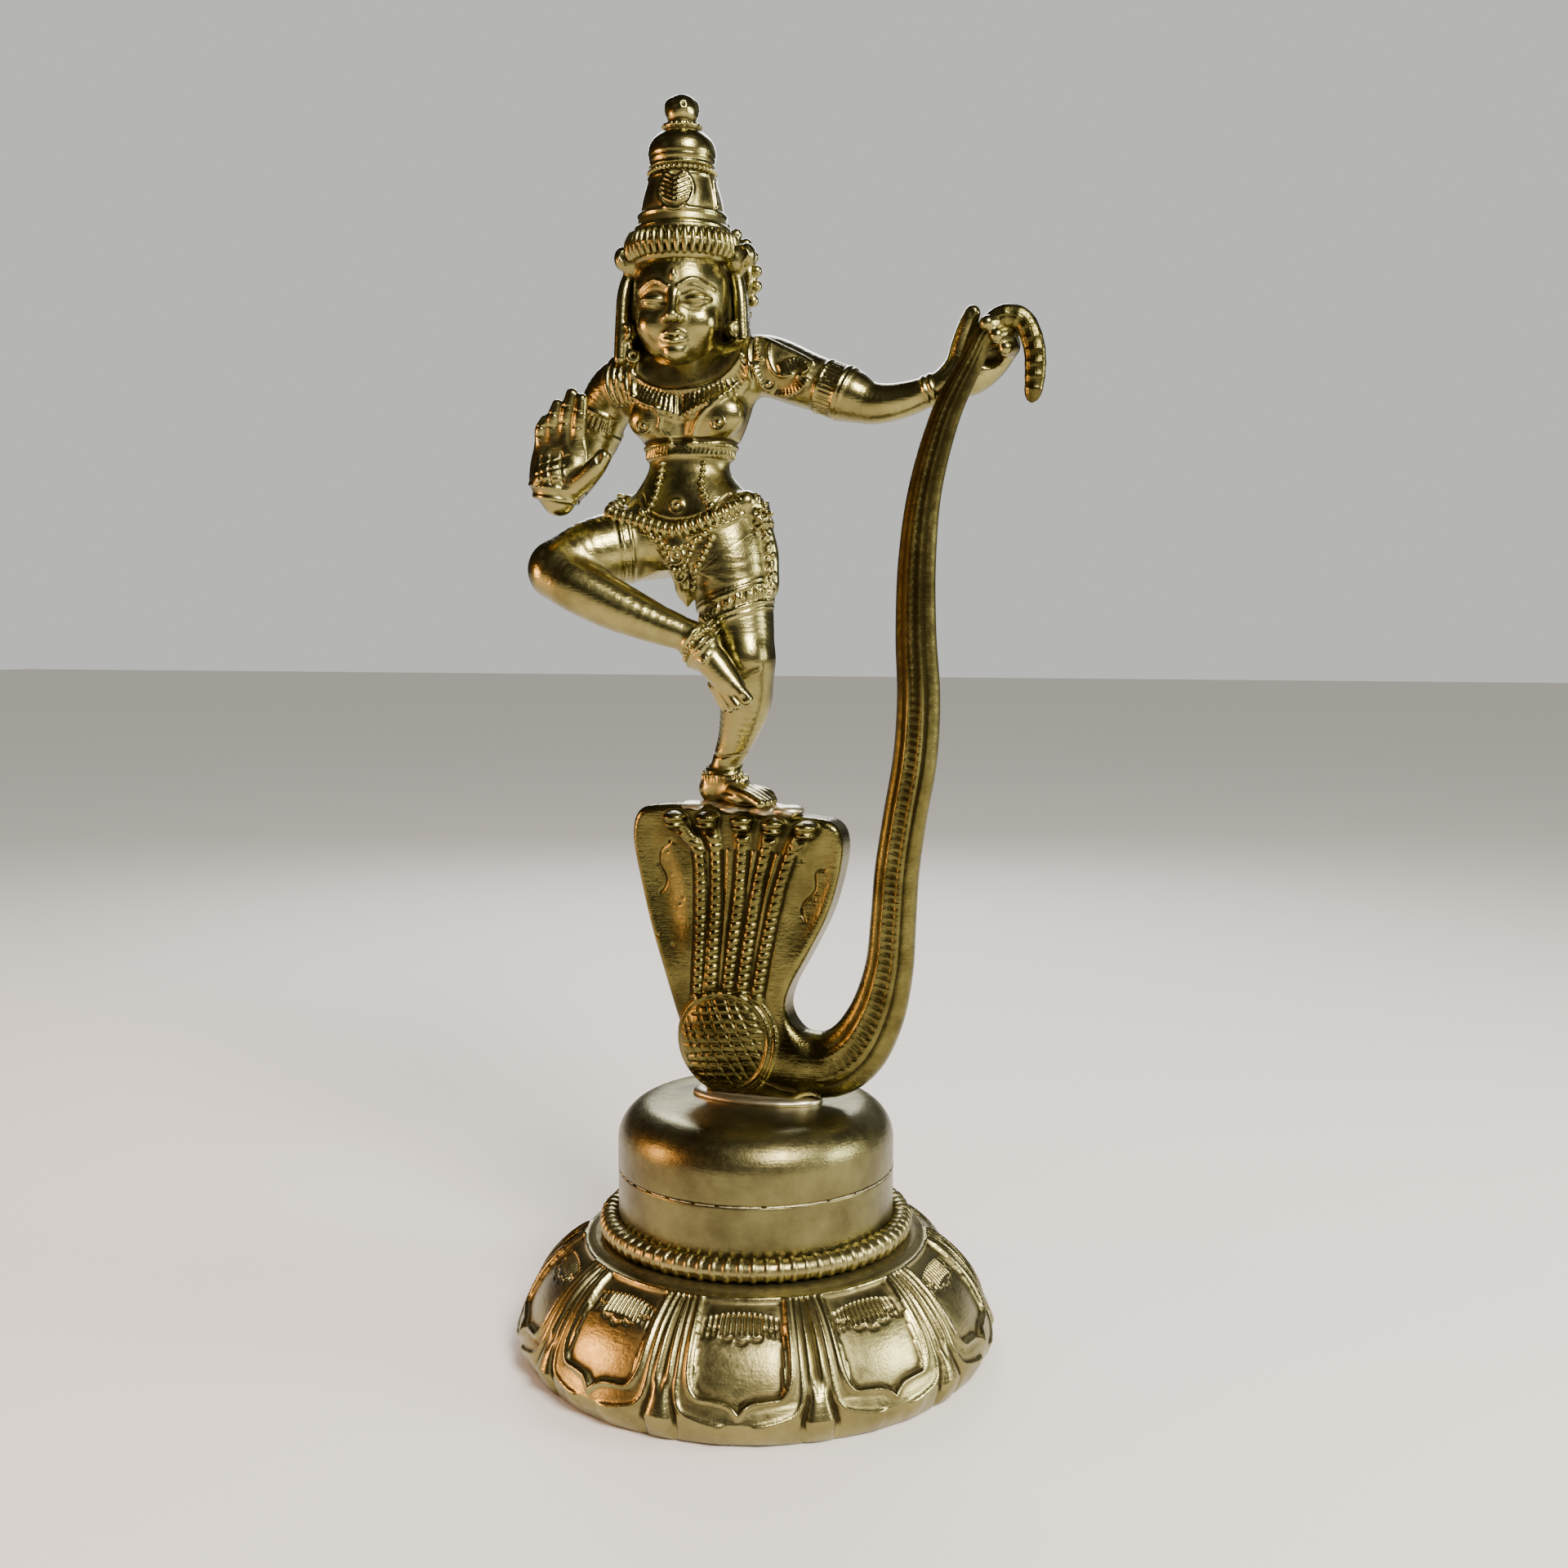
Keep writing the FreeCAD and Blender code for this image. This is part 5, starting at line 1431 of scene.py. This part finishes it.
def ankle_ring(height):
    """A line round the standing ankle that dips at the front."""
    return girdle(leg, (-2.6, 1.2), lambda a: height - 0.8 * np.cos(np.radians(a)), steps=61, reach=7.0)


leg.trace(ankle_ring(8.5), 0.22, cut=True)
leg.trace(ankle_ring(5.8), 0.32, 0.4)
anklets = [ankle_ring(5.1)[:-1]]
fringe = girdle(leg, (-1.6, 0.7), lambda a: 4.0, -80, 110, 19, 7.5)
ticked(leg, fringe, 0.6, 0.26)

# the thigh band slants down to the inside, between two lines
THIGH, THIGH_AXIS = np.array([0.6, -1.0, 33.6]), np.array([-0.36, 0.0, 0.93])
for offset, wire in ((0.0, 0.36), (-2.7, 0.36), (-3.6, 0.22), (0.8, 0.2)):
    centre = THIGH + THIGH_AXIS * offset
    leg.trace(cuff(leg, centre, THIGH_AXIS, 11.0), wire, 0.3)
middle = cuff(leg, THIGH - THIGH_AXIS * 1.35, THIGH_AXIS, 11.0, steps=37)
for k, spot in enumerate(middle[:-1]):
    slant = np.array([0.25, 0, 0.75]) * (1 if k % 2 else -1)
    leg.press(cone(spot - slant, spot + slant * (0.2, 1, 1), 0.3, 0.3), blend=0.2)
    if k % 2:
        leg.press(ball(spot, 0.5), blend=0.2)

# the sash end that hangs down the outer thigh, with ruffled edges
hang = [(4.4, 0.2, 43.6), (5.2, 0.4, 40.6), (5.6, 0.2, 37.6), (5.9, -0.2, 34.8), (5.4, -0.4, 33.2)]
leg.press(*rod(hang, (1.6, 1.5, 1.3, 1.1, 0.7)), blend=0.8)
for k, spot in enumerate(curved(hang, 5)):
    ruffle = spot + (0.4, -1.2 + 0.4 * math.sin(2.4 * k), 0)
    leg.press(ball(leg.onto([ruffle + (6, -3, 0)], (-0.9, 0.43, 0), 9.0)[0], (0.5, 0.5, 0.34)), blend=0.2)
leg.sink((-1.2, 0.0, 39.2), (-0.62, 0.0, 0.78))
standing_leg = leg.cast("standing_leg", figure_brass, SOLE)
keep(standing_leg, "figure_brass", "standing_leg")

leg = Clay((-34.5, -19.5, 11.5), (9.5, 7.5, 51.5), 0.23)
wax_figure(leg, "trunk", "front", "standing", "raised")
leg.press(ball((-26.3, -12.2, 37.6), (4.1, 4.1, 4.3)), blend=1.5)
CALF = [
    (-25.6, -12.9, 36.9), (-22.4, -12.8, 35.2), (-16.0, -11.9, 31.9), (-9.0, -10.9, 28.9),
    (-3.6, -10.0, 26.9)
]
leg.press(*rod(CALF, (3.9, 4.3, 3.95, 3.1, 2.45)), blend=1.2)
leg.press(
    *rod(
        [(-3.6, -9.9, 26.6), (-1.2, -10.0, 24.2), (1.6, -10.1, 21.0), (3.3, -10.2, 19.2)],
        (2.5, 2.7, 2.35, 1.8)
    ),
    blend=1.0
)
leg.press(ball((-3.2, -9.2, 23.8), (1.9, 2.0, 2.1)), blend=1.2)
TOES = [  # root, tip, thickness
    ((2.7, -10.7, 20.6), (5.6, -11.0, 17.5), 1.12),
    ((1.6, -10.8, 19.6), (4.0, -11.0, 16.5), 0.86),
    ((0.7, -10.5, 19.2), (2.8, -10.6, 16.0), 0.82),
    ((-0.1, -10.0, 19.2), (1.6, -10.0, 16.1), 0.78),
    ((-0.8, -9.4, 19.6), (0.6, -9.3, 16.8), 0.72),
]
for root, tip, thick in TOES:
    leg.press(cone(root, tip, thick, thick * 0.92), blend=0.25)
nail = np.array([5.5, -12.0, 17.7])
leg.press(ball(nail, (0.6, 0.25, 0.7)), blend=0.1, cut=True)
ANKLE, ANKLE_AXIS = np.array([-2.9, -9.9, 26.2]), np.array([0.80, 0.02, -0.60])
for offset, wire in ((-0.9, 0.3), (1.0, 0.3)):
    leg.trace(cuff(leg, ANKLE + ANKLE_AXIS * offset, ANKLE_AXIS, 6.0), wire, 0.3)
anklets.append(cuff(leg, ANKLE, ANKLE_AXIS, 6.0)[:-1])
instep = cuff(leg, ANKLE + ANKLE_AXIS * 2.6, ANKLE_AXIS, 6.0, -30, 120, 14)
ticked(leg, instep, 0.8, 0.34, lean=0.5)
for x, wire in ((-17.0, 0.3), (-17.9, 0.22), (-18.8, 0.3)):
    leg.trace(cuff(leg, (x, -4.4, 41.4), (0.85, 0.5, 0.12), 7.2), wire, 0.35)
leg.sink((-14.6, -1.2, 43.0), (0.76, 0.24, 0.60))
raised_leg = leg.cast("raised_leg", figure_brass, SOLE)
keep(raised_leg, "figure_brass", "raised_leg")
anklet_beads = beads_along(
    "anklet_beads", [in_place(p) for p in anklets], 0.85, (0.4, 0.42, 0.42), 0.2, figure_brass, closed=True,
    seed=5
)
keep(anklet_beads, "figure_brass")

# the puddle of brazing metal that fixes the foot, run out over the hood's edge
low, high = box_of("foot_braze")
puddle = Clay(low - 5.0, high + (5.0, 2.5, 2.5), 0.2)
draw = np.random.default_rng(23)
for _ in range(60):
    x, y = draw.uniform(low[0] - 2.0, high[0] + 2.6), draw.uniform(low[1] + 0.5, high[1] - 0.6)
    size = draw.uniform(0.6, 1.25)
    puddle.press(ball((x, y, low[2] + 0.05), (size * 1.5, size * 1.2, size * 0.62)), blend=0.7)
for _ in range(16):
    x, size = draw.uniform(low[0] - 1.5, high[0] + 2.2), draw.uniform(0.5, 0.9)
    puddle.press(ball((x, low[1] + 0.5, low[2] - 0.5), (size * 1.5, size * 0.6, size)), blend=0.8)
foot_puddle = puddle.cast("foot_braze", braze_metal)
keep(foot_puddle, "braze_metal", "foot_braze")


# ---- arms
# The left arm folds forwards and shows an open palm, cut with a net of lines; the right one is
# held out and closes its fist round the serpent's tail. Each is a casting of its own.
arm = Clay((-34, -19.5, 43.5), (-11.5, 7.5, 76), 0.17)
wax_figure(arm, "trunk", "front", "neck", "left_arm")
shoulder_locks(arm)
LEFT_BAND, LEFT_AXIS = np.array([-24.6, 1.3, 62.0]), np.array([-0.35, -0.05, -0.93])
for offset in (-1.4, 1.4):
    arm.trace(cuff(arm, LEFT_BAND + LEFT_AXIS * offset, LEFT_AXIS, 7.0), 0.36, 0.3)
ticked(arm, cuff(arm, LEFT_BAND, LEFT_AXIS, 7.0, steps=31), 0.9, 0.3)
arm.sink((-19.4, 0.0, 67.5), (0.92, 0.0, -0.39))
FOREARM = [
    (-25.4, 1.2, 59.8), (-27.0, -0.4, 55.0), (-27.8, -3.6, 51.8), (-27.2, -8.0, 50.4), (-25.8, -11.4, 50.4)
]
arm.press(*rod(FOREARM, (3.8, 3.4, 3.1, 2.8, 2.6)), blend=1.2)
PALM_UP = np.array([0.17, 0.0, 0.985])
PALM_SIDE = np.array([0.985, 0.0, -0.17])
PALM = np.array([-24.4, -13.4, 54.0])
FACING = np.array([0.0, -1.0, 0.0])


def on_palm(across, up, out=0.0):
    """A point of the open hand: across to the thumb's side, up to the fingertips, out to the front."""
    return PALM + PALM_SIDE * across + PALM_UP * up + FACING * out


palm_axes = (PALM_SIDE, (0, 1, 0), PALM_UP)
arm.press(ball(on_palm(-0.3, 0.2), (4.9, 1.9, 6.2), palm_axes), blend=0.8)
arm.press(ball(on_palm(2.2, -2.4, 0.9), (2.5, 1.7, 3.3), palm_axes), blend=1.0)
arm.press(ball(on_palm(-2.6, -1.6, 0.7), (2.1, 1.4, 3.8), palm_axes), blend=1.0)
arm.press(ball(on_palm(0.0, 0.6, 2.7), (1.7, 0.9, 2.2), palm_axes), blend=0.9, cut=True)
arm.press(*rod([on_palm(-0.4, -2.8), on_palm(0.4, -5.4)], (4.0, 2.7)), blend=0.9)
for up, wire in ((-3.9, 0.26), (-5.5, 0.4)):
    arm.trace(cuff(arm, on_palm(0.0, up), PALM_UP, 7.0), wire, 0.35)
FINGERS = [  # across and up at the root, at the joint and at the tip, and thickness
    ((-3.7, 2.4), (-3.8, 4.6), (-3.3, 6.2), 1.02),
    ((-1.8, 3.4), (-1.9, 6.6), (-1.6, 8.8), 1.08),
    ((0.3, 3.8), (0.3, 7.8), (0.6, 10.8), 1.12),
    ((2.5, 3.6), (2.5, 7.4), (2.4, 10.2), 1.10),
]
for root, joint, tip, thick in FINGERS:
    path = [on_palm(*root, 0.1), on_palm(*joint, 0.8), on_palm(*tip, 0.9)]
    arm.press(*rod(path, (thick * 1.06, thick * 1.06, thick * 0.86)), blend=0.75)
    line = curved(path, 20)
    for at in (12, 26):
        crease = [line[at] + PALM_SIDE * s + FACING * 4 for s in (-0.7, 0.7)]
        arm.trace(arm.onto(crease, INWARD, 8.0), 0.1, cut=True)
THUMB = [on_palm(2.2, -3.6, 0.6), on_palm(4.8, -1.9, 1.4), on_palm(6.7, 0.1, 1.9), on_palm(7.9, 2.0, 2.0)]
arm.press(*rod(THUMB, (2.0, 1.75, 1.6, 1.3)), blend=0.7)
nail = arm.onto([on_palm(7.8, 2.2, 5.0)], INWARD, 8.0)[0]
arm.press(ball(nail, (0.5, 0.25, 1.3), palm_axes), blend=0.15, cut=True)
for k in (-1, 0, 1):
    steep = [on_palm(-1.1 + 1.6 * k, 1.1 + 0.5 * k, 5.0), on_palm(0.7 + 1.6 * k, -3.4 + 0.5 * k, 5.0)]
    level = [on_palm(-2.4, -2.4 + 1.6 * k, 5.0), on_palm(1.9, -0.2 + 1.6 * k, 5.0)]
    for line in (steep, level):
        arm.trace(arm.onto(curved(line, 20), INWARD, 8.0), 0.19, 0.1, cut=True)
raised_arm = arm.cast("raised_arm", figure_brass, SOLE)
keep(raised_arm, "figure_brass", "raised_arm")

arm = Clay((-2.5, -9.5, 56.5), (49, 7.5, 80.5), 0.22)
wax_figure(arm, "trunk", "front", "neck", "right_arm")
LOWER = [(18.4, 0.1, 64.5), (22.5, 0.0, 63.0), (27.5, -0.2, 63.3), (32.6, -0.4, 64.9), (36.0, -0.3, 67.0)]
arm.press(*rod(LOWER, (3.8, 3.15, 2.65, 2.2, 2.2)), blend=1.2)
arm.press(
    *rod(
        [(35.4, 0.4, 66.4), (37.4, 1.4, 66.6), (40.2, 1.8, 68.4), (43.0, 1.0, 70.8)], (2.5, 2.9, 2.7, 2.1)
    ),
    blend=1.0
)
GRASP = [  # three fingers that come round the tail from behind, tip last
    [(43.0, 1.2, 70.6), (44.2, -1.4, 70.2), (43.8, -3.3, 69.6)],
    [(42.8, 1.2, 72.3), (44.0, -1.6, 72.2), (42.6, -4.2, 71.4)],
    [(42.2, 1.2, 74.0), (43.0, -1.8, 74.0), (41.2, -4.7, 73.2)],
]
for finger in GRASP:
    arm.press(*rod(finger, (1.5, 1.35, 1.15)), blend=0.7)
arm.press(ball((41.2, -1.6, 68.9), (2.0, 2.3, 1.5)), blend=0.6, cut=True)
arm.press(
    *rod(
        [(35.9, -0.2, 67.4), (36.7, -0.9, 71.0), (37.7, -1.6, 73.8), (38.4, -2.0, 75.3)],
        (2.1, 1.75, 1.45, 1.2)
    ),
    blend=0.8
)
thumb_nail = arm.onto([(38.5, -8.0, 75.3)], INWARD, 9.0)[0]
arm.press(ball(thumb_nail, (0.7, 0.2, 0.8)), blend=0.15, cut=True)
BAND, BAND_AXIS = np.array([16.2, 0.2, 65.6]), np.array([0.93, 0.0, -0.37])
for offset, wire in ((-1.6, 0.36), (1.6, 0.36), (2.4, 0.24)):
    arm.trace(cuff(arm, BAND + BAND_AXIS * offset, BAND_AXIS, 8.0), wire, 0.3)
for spot in cuff(arm, BAND, BAND_AXIS, 8.0, steps=37)[:-1]:
    way = BAND_AXIS * 1.05
    arm.press(cone(spot - way, spot + way, 0.3, 0.3), blend=0.2)
for spot in ((31.2, -0.4, 64.5), (32.2, -0.4, 64.8)):
    arm.trace(cuff(arm, spot, (0.94, 0, 0.34), 5.0), 0.28, 0.3)

# the shoulder piece: a pleated scroll between two beaded lines
scroll = [
    (4.6, 72.6), (5.0, 69.4), (6.0, 66.6), (8.4, 65.2), (11.2, 65.6), (12.6, 67.4), (11.2, 69.0),
    (8.8, 68.2)
]
ticked(arm, seen(arm, scroll, 5), 0.85, 0.34)
inner = [(6.4, 72.4), (6.8, 70.0), (7.6, 68.0), (9.0, 67.2), (10.6, 67.4)]
arm.trace(seen(arm, inner), 0.3, 0.3)
arm.trace(seen(arm, STRAP), 0.42, 0.35)
boss = seen(arm, [(6.6, 66.2)], 0)[0]
arm.press(hoop(boss, (0, 1, 0), 0.9, 0.26), ball(boss, 0.45), blend=0.2)
over = [(5.6, 73.4), (8.4, 72.0), (11.2, 70.6), (13.6, 69.2)]
arm.trace(seen(arm, over), 0.3, 0.3)

# room for the tail in the grip
gripped = TAIL[13:17]
grip_line = [np.array(p[:3]) - SOLE for p in gripped]
arm.press(*rod(grip_line, [p[3] * 0.8 for p in gripped]), blend=0.3, cut=True)
arm.sink((2.9, 0.0, 69.0), (-0.92, 0.0, -0.39))
tail_arm = arm.cast("tail_arm", figure_brass, SOLE)
keep(tail_arm, "figure_brass", "tail_arm")


# ---- head
# Calm and round, turned a little to the held tail. The hair hangs in plain locks behind the
# ears to the shoulders, with a disc in each ear and a bud above each temple.
head = Clay((-24, -14, 67), (6, 12.5, 92), 0.17)
SIDE_AXES = (
    (math.cos(FACE_TURN), math.sin(FACE_TURN), 0.0), (-math.sin(FACE_TURN), math.cos(FACE_TURN), 0.0),
    (0.0, 0.0, 1.0)
)


def on_head(x, y, z):
    """A point of the head from its own axis, with -y to where it looks."""
    c, s = math.cos(FACE_TURN), math.sin(FACE_TURN)
    return HEAD_X + c * x - s * y, s * x + c * y, z


def lump(centre, radii):
    """An ellipsoid that is turned with the head."""
    return ball(on_head(*centre), radii, SIDE_AXES)


def faced(points, steps=6):
    """A smooth line of the head's own points."""
    path = curved(points, steps) if steps else points
    return [on_head(*p) for p in path]


LOOKED_AT = np.subtract(on_head(0, 1, 0), on_head(0, 0, 0))
head.press(lump((0, -0.4, 80.6), (7.9, 8.2, 10.4)), blend=0.5)
head.press(lump((0, -2.6, 74.8), (5.7, 5.3, 5.0)), blend=2.5)
head.press(lump((0, -6.4, 71.3), (1.9, 1.7, 1.5)), blend=1.8)
for side in (-1, 1):
    head.press(lump((side * 3.7, -5.3, 75.9), (2.5, 2.3, 2.4)), blend=1.6)
    head.press(lump((side * 3.3, -8.7, 79.2), (2.6, 1.1, 1.5)), blend=1.2, cut=True)
head.press(*rod(faced([(0, -7.6, 81.2), (0, -8.5, 79.0), (0, -9.7, 76.6)], 4), 0.85, 0), blend=0.7)
head.press(lump((0, -9.4, 76.5), (1.15, 1.15, 0.95)), blend=0.5)
for side in (-1, 1):
    head.press(lump((side * 1.15, -8.7, 76.2), (0.72, 0.9, 0.7)), blend=0.4)
    head.press(lump((side * 0.62, -9.5, 75.55), (0.32, 0.4, 0.3)), blend=0.2, cut=True)
    brow = head.onto(
        faced([(side * 0.8, -12, 81.2), (side * 3.2, -12, 82.3), (side * 6.0, -11, 80.9)]), LOOKED_AT, 9.0
    )
    head.trace(brow, 0.24, 0.35)
    head.press(lump((side * 3.2, -6.2, 78.9), (2.1, 1.75, 1.05)), blend=0.3)
    head.press(lump((side * 3.25, -6.15, 79.4), (2.5, 2.0, 0.95)), blend=0.25)
    for wire, line in (  # the lid's edge, its crease and the lower lid's edge
        (0.17, [(side * 1.0, -12, 78.75), (side * 3.2, -12, 78.65), (side * 5.4, -11, 79.15)]),
        (0.15, [(side * 1.3, -12, 79.9), (side * 3.2, -12, 80.65), (side * 5.5, -11, 79.9)]),
        (0.11, [(side * 1.4, -12, 78.25), (side * 3.2, -12, 77.75), (side * 5.0, -11, 78.5)]),
    ):
        head.trace(head.onto(faced(line), LOOKED_AT, 9.0), wire, cut=True)
UPPER_LIP = [
    (-2.0, -7.35, 73.75), (-0.8, -8.35, 74.15), (0, -8.5, 74.0), (0.8, -8.35, 74.15), (2.0, -7.35, 73.75)
]
LOWER_LIP = [(-1.6, -7.45, 73.2), (0, -8.4, 72.85), (1.6, -7.45, 73.2)]
head.press(*rod(faced(UPPER_LIP, 4), 0.42, 0), blend=0.4)
head.press(*rod(faced(LOWER_LIP, 5), 0.5, 0), blend=0.4)
mouth = faced(
    [(-2.3, -7.9, 73.75), (-1.0, -9.0, 73.5), (0, -9.15, 73.5), (1.0, -9.0, 73.5), (2.3, -7.9, 73.75)]
)
head.trace(mouth, 0.17, cut=True)
head.press(lump((0, -9.2, 75.0), (0.34, 0.6, 0.55)), blend=0.4, cut=True)
head.press(lump((0, -8.55, 83.0), (0.5, 0.4, 0.95)), blend=0.3)

# ears, discs, buds and locks
for side in (-1, 1):
    head.press(lump((side * 7.6, -0.2, 79.4), (0.9, 1.6, 2.7)), blend=0.4)
    head.press(lump((side * 8.3, -0.7, 79.8), (0.5, 0.8, 1.5)), blend=0.3, cut=True)
    disc = on_head(side * 8.4, -1.4, 75.4)
    way = np.subtract(on_head(side * 0.7, -1, 0), on_head(0, 0, 0))
    head.press(ball(disc, 1.5), blend=0.4)
    head.press(hoop(disc + way * 0.9, way, 1.1, 0.32), blend=0.25)
    head.press(lump((side * 8.6, -1.5, 73.0), (0.9, 0.9, 1.3)), blend=0.4)
    reach = side * (9.9 if side > 0 else 8.7)
    head.press(lump((reach - side, -1.0, 86.4), (2.0, 2.2, 2.4)), blend=0.9)
    head.press(lump((reach + side * 0.6, -1.6, 87.0), (1.5, 1.5, 1.9)), blend=0.5)
    leaf = [(reach, -4.0, 88.4), (reach + side * 1.1, -4.0, 87.0), (reach, -4.0, 85.4)]
    head.trace(head.onto(faced(leaf), LOOKED_AT, 6.0), 0.2)
    for k in range(5):
        lock = [
            (side * (6.2 + 0.4 * k), 4.6 - 1.1 * k, 86.6), (side * (8.8 + 0.12 * k), 4.2 - 1.35 * k, 82.0),
            (side * (9.3 + 0.1 * k), 4.2 - 1.45 * k, 76.4), (side * (10.3 - 0.1 * k), 3.6 - 1.35 * k, 71.4)
        ]
        head.press(*rod(faced(lock, 5), 1.05, 0), blend=0.35)
    for k in range(4):
        curl = on_head(side * (10.7 - 1.0 * k), 2.6 - 1.6 * k, 70.9 + 0.25 * k)
        head.press(hoop(curl, (0.3, -1, 0.2), 0.75, 0.5), blend=0.25)
head.press(lump((0, 2.4, 79.6), (9.6, 5.6, 9.6)), blend=0.8)
head.press(lump((0, 2.6, 73.6), (8.8, 4.0, 4.6)), blend=1.2)
for k in range(-6, 7):
    strand = [(k * 1.15, 11.5, 88.0), (k * 1.25, 11.5, 80.0), (k * 1.3, 11.5, 71.5)]
    head.trace(head.onto(faced(strand), -LOOKED_AT, 11.0), 0.32, 0.4, cut=True)
head_piece = head.cast("head", figure_brass, SOLE)
keep(head_piece, "figure_brass", "head")


# ---- crown
# A tall stepped crown: a fluted roll on the brow, a ticked band, a plain cone with a leaf medal,
# a beaded ring, a domed disc, a small ring and a bud, cast in one and brazed on the head.
crown = Clay((-21, -12, 84), (3, 12, 115), 0.2)


def tier(*levels):
    """A turned lump of the crown through (height, radius) levels."""
    return stack([(z, HEAD_X, 0.0, r, r) for z, r in levels])


crown.press(tier((85.6, 7.6), (86.6, 8.1), (89.8, 8.1), (91.2, 7.4)), blend=0.4)
crown.press(tier((90.6, 7.4), (91.4, 7.3), (93.0, 7.0), (93.4, 6.8)), blend=0.3)
crown.press(tier((93.0, 6.75), (96.0, 6.3), (99.4, 5.3)), blend=0.3)
crown.press(tier((99.0, 5.0), (101.4, 4.8)), blend=0.2)
crown.press(
    tier((101.0, 4.7), (101.9, 5.25), (103.4, 5.4), (104.8, 5.0), (106.0, 3.9), (106.8, 2.6)), blend=0.3
)
crown.press(tier((106.2, 2.5), (108.6, 2.0)), blend=0.3)
crown.press(tier((107.9, 1.9), (109.0, 2.5), (110.4, 2.5), (111.6, 1.9), (112.2, 1.1)), blend=0.3)
CROWN_RINGS = [
    (91.2, 7.35, 0.42), (93.3, 6.85, 0.36), (99.2, 5.3, 0.3), (101.0, 5.0, 0.3), (107.3, 2.55, 0.55)
]
for z, radius, wire in CROWN_RINGS:
    crown.press(hoop((HEAD_X, 0, z), (0, 0, 1), radius, wire), blend=0.3)
crown.press(hoop((HEAD_X, 0, 102.4), (0, 0, 1), 5.5, 0.22), blend=0.2, cut=True)
for k in range(4):
    a = 2 * math.pi * (k + 0.3) / 4
    spot = (HEAD_X + 1.7 * math.sin(a), -1.7 * math.cos(a), 110.0 + 0.3 * (k % 2))
    crown.press(ball(spot, (1.1, 1.1, 1.5)), blend=0.4)
    crown.press(
        ball((HEAD_X + 2.6 * math.sin(a), -2.6 * math.cos(a), 110.2), (0.25, 0.25, 0.35)), blend=0.2,
        cut=True
    )


def on_cone(across, up):
    """A point on the cone's front skin: across its front and up, thrown on it from the front."""
    start = on_head(across, -12.0, up)
    return crown.onto([start], np.subtract(on_head(0, 6, 0), on_head(0, 0, 0)), 14.0)[0]


MEDAL_Z = 96.5
frame_line = []
for a in np.linspace(-2.5, math.pi + 2.5, 40):
    frame_line.append(on_cone(2.7 * math.cos(a), MEDAL_Z - 0.2 + 3.2 * math.sin(a)))
crown.trace(frame_line, 0.3, 0.25)
for side in (-1, 1):
    for k in range(6):
        up = MEDAL_Z - 2.1 + k * 0.78
        reach = 2.1 * math.sqrt(max(1 - ((up + 0.6 - MEDAL_Z) / 3.0) ** 2, 0.05))
        crown.press(
            cone(on_cone(side * 0.22, up), on_cone(side * reach, up + 0.95 * reach / 2.2), 0.36, 0.26),
            blend=0.12
        )
side_frill = [(5.9, -3.0, 94.2), (5.6, -2.8, 96.4), (5.3, -2.4, 98.4)]
crown.trace(faced(side_frill), 0.45, 0.3)
crown_piece = crown.cast("crown", figure_brass, SOLE)
keep(crown_piece, "figure_brass", "crown")
ROLL_RADIUS = 8.3
roll_path = in_place(circle(ROLL_RADIUS, 88.3, 180, (HEAD_X, 0.0)))
roll = beads_along(
    "crown_roll", [roll_path], 2 * math.pi * ROLL_RADIUS / 44, (0.64, 2.3, 1.15), 0.9, figure_brass,
    closed=True, uneven=0.04
)
keep(roll, "figure_brass")
ring_paths = [in_place(circle(r, z, 120, (HEAD_X, 0.0))) for r, z in ((5.1, 100.1), (2.7, 107.3))]
ring_beads = beads_along(
    "crown_beads", ring_paths, 0.84, (0.42, 0.5, 0.5), 0.25, figure_brass, closed=True, seed=9
)
keep(ring_beads, "figure_brass")


# ---- wheel behind the head
# A small lobed wheel on a short stalk, as on old bronzes: a pierced look is only chased on it,
# with spokes between two rings and a round lobe at the end of each.
wheel = Clay((-21.5, 4.5, 73.8), (2.2, 14, 97.4), 0.2)
HUB = np.array([HEAD_X - 0.6, 10.9, 85.6])
SPOKES = 24
WHEEL_RADIUS = 9.2
wheel.press(cone((HEAD_X, 5.6, 82.4), (HEAD_X, 10.4, 83.6), 2.3, 2.0), blend=0.3)
turn = np.linspace(0, 2 * math.pi, 73)[:-1]
disc = [(HUB[0] + WHEEL_RADIUS * math.cos(a), HUB[2] + WHEEL_RADIUS * math.sin(a)) for a in turn]
flat_low, flat_high, flat = plate(disc, 0.75, 0.4)
wheel.press(
    (flat_low + (0, HUB[1], 0), flat_high + (0, HUB[1], 0), lambda x, y, z: flat(x, y - HUB[1], z)),
    blend=0.3
)
spokes = [2 * math.pi * (k + 0.5) / SPOKES for k in range(SPOKES)]
spokes = [np.array([math.cos(a), 0, math.sin(a)]) for a in spokes]
for side in (-1, 1):
    face = HUB + (0, side * 0.75, 0)
    for radius, wire in ((8.2, 0.4), (3.2, 0.45)):
        wheel.press(hoop(face, (0, 1, 0), radius, wire), blend=0.25)
    wheel.press(ball(face, (1.8, 1.0, 1.8)), blend=0.4)
    for way in spokes:
        wheel.press(cone(face + way * 3.2, face + way * 8.0, 0.28, 0.42), blend=0.25)
for way in spokes:
    wheel.press(ball(HUB + way * WHEEL_RADIUS, (1.0, 0.9, 1.0)), blend=0.3)
wheel_piece = wheel.cast("halo_wheel", figure_brass, SOLE)
keep(wheel_piece, "figure_brass", "halo_wheel")
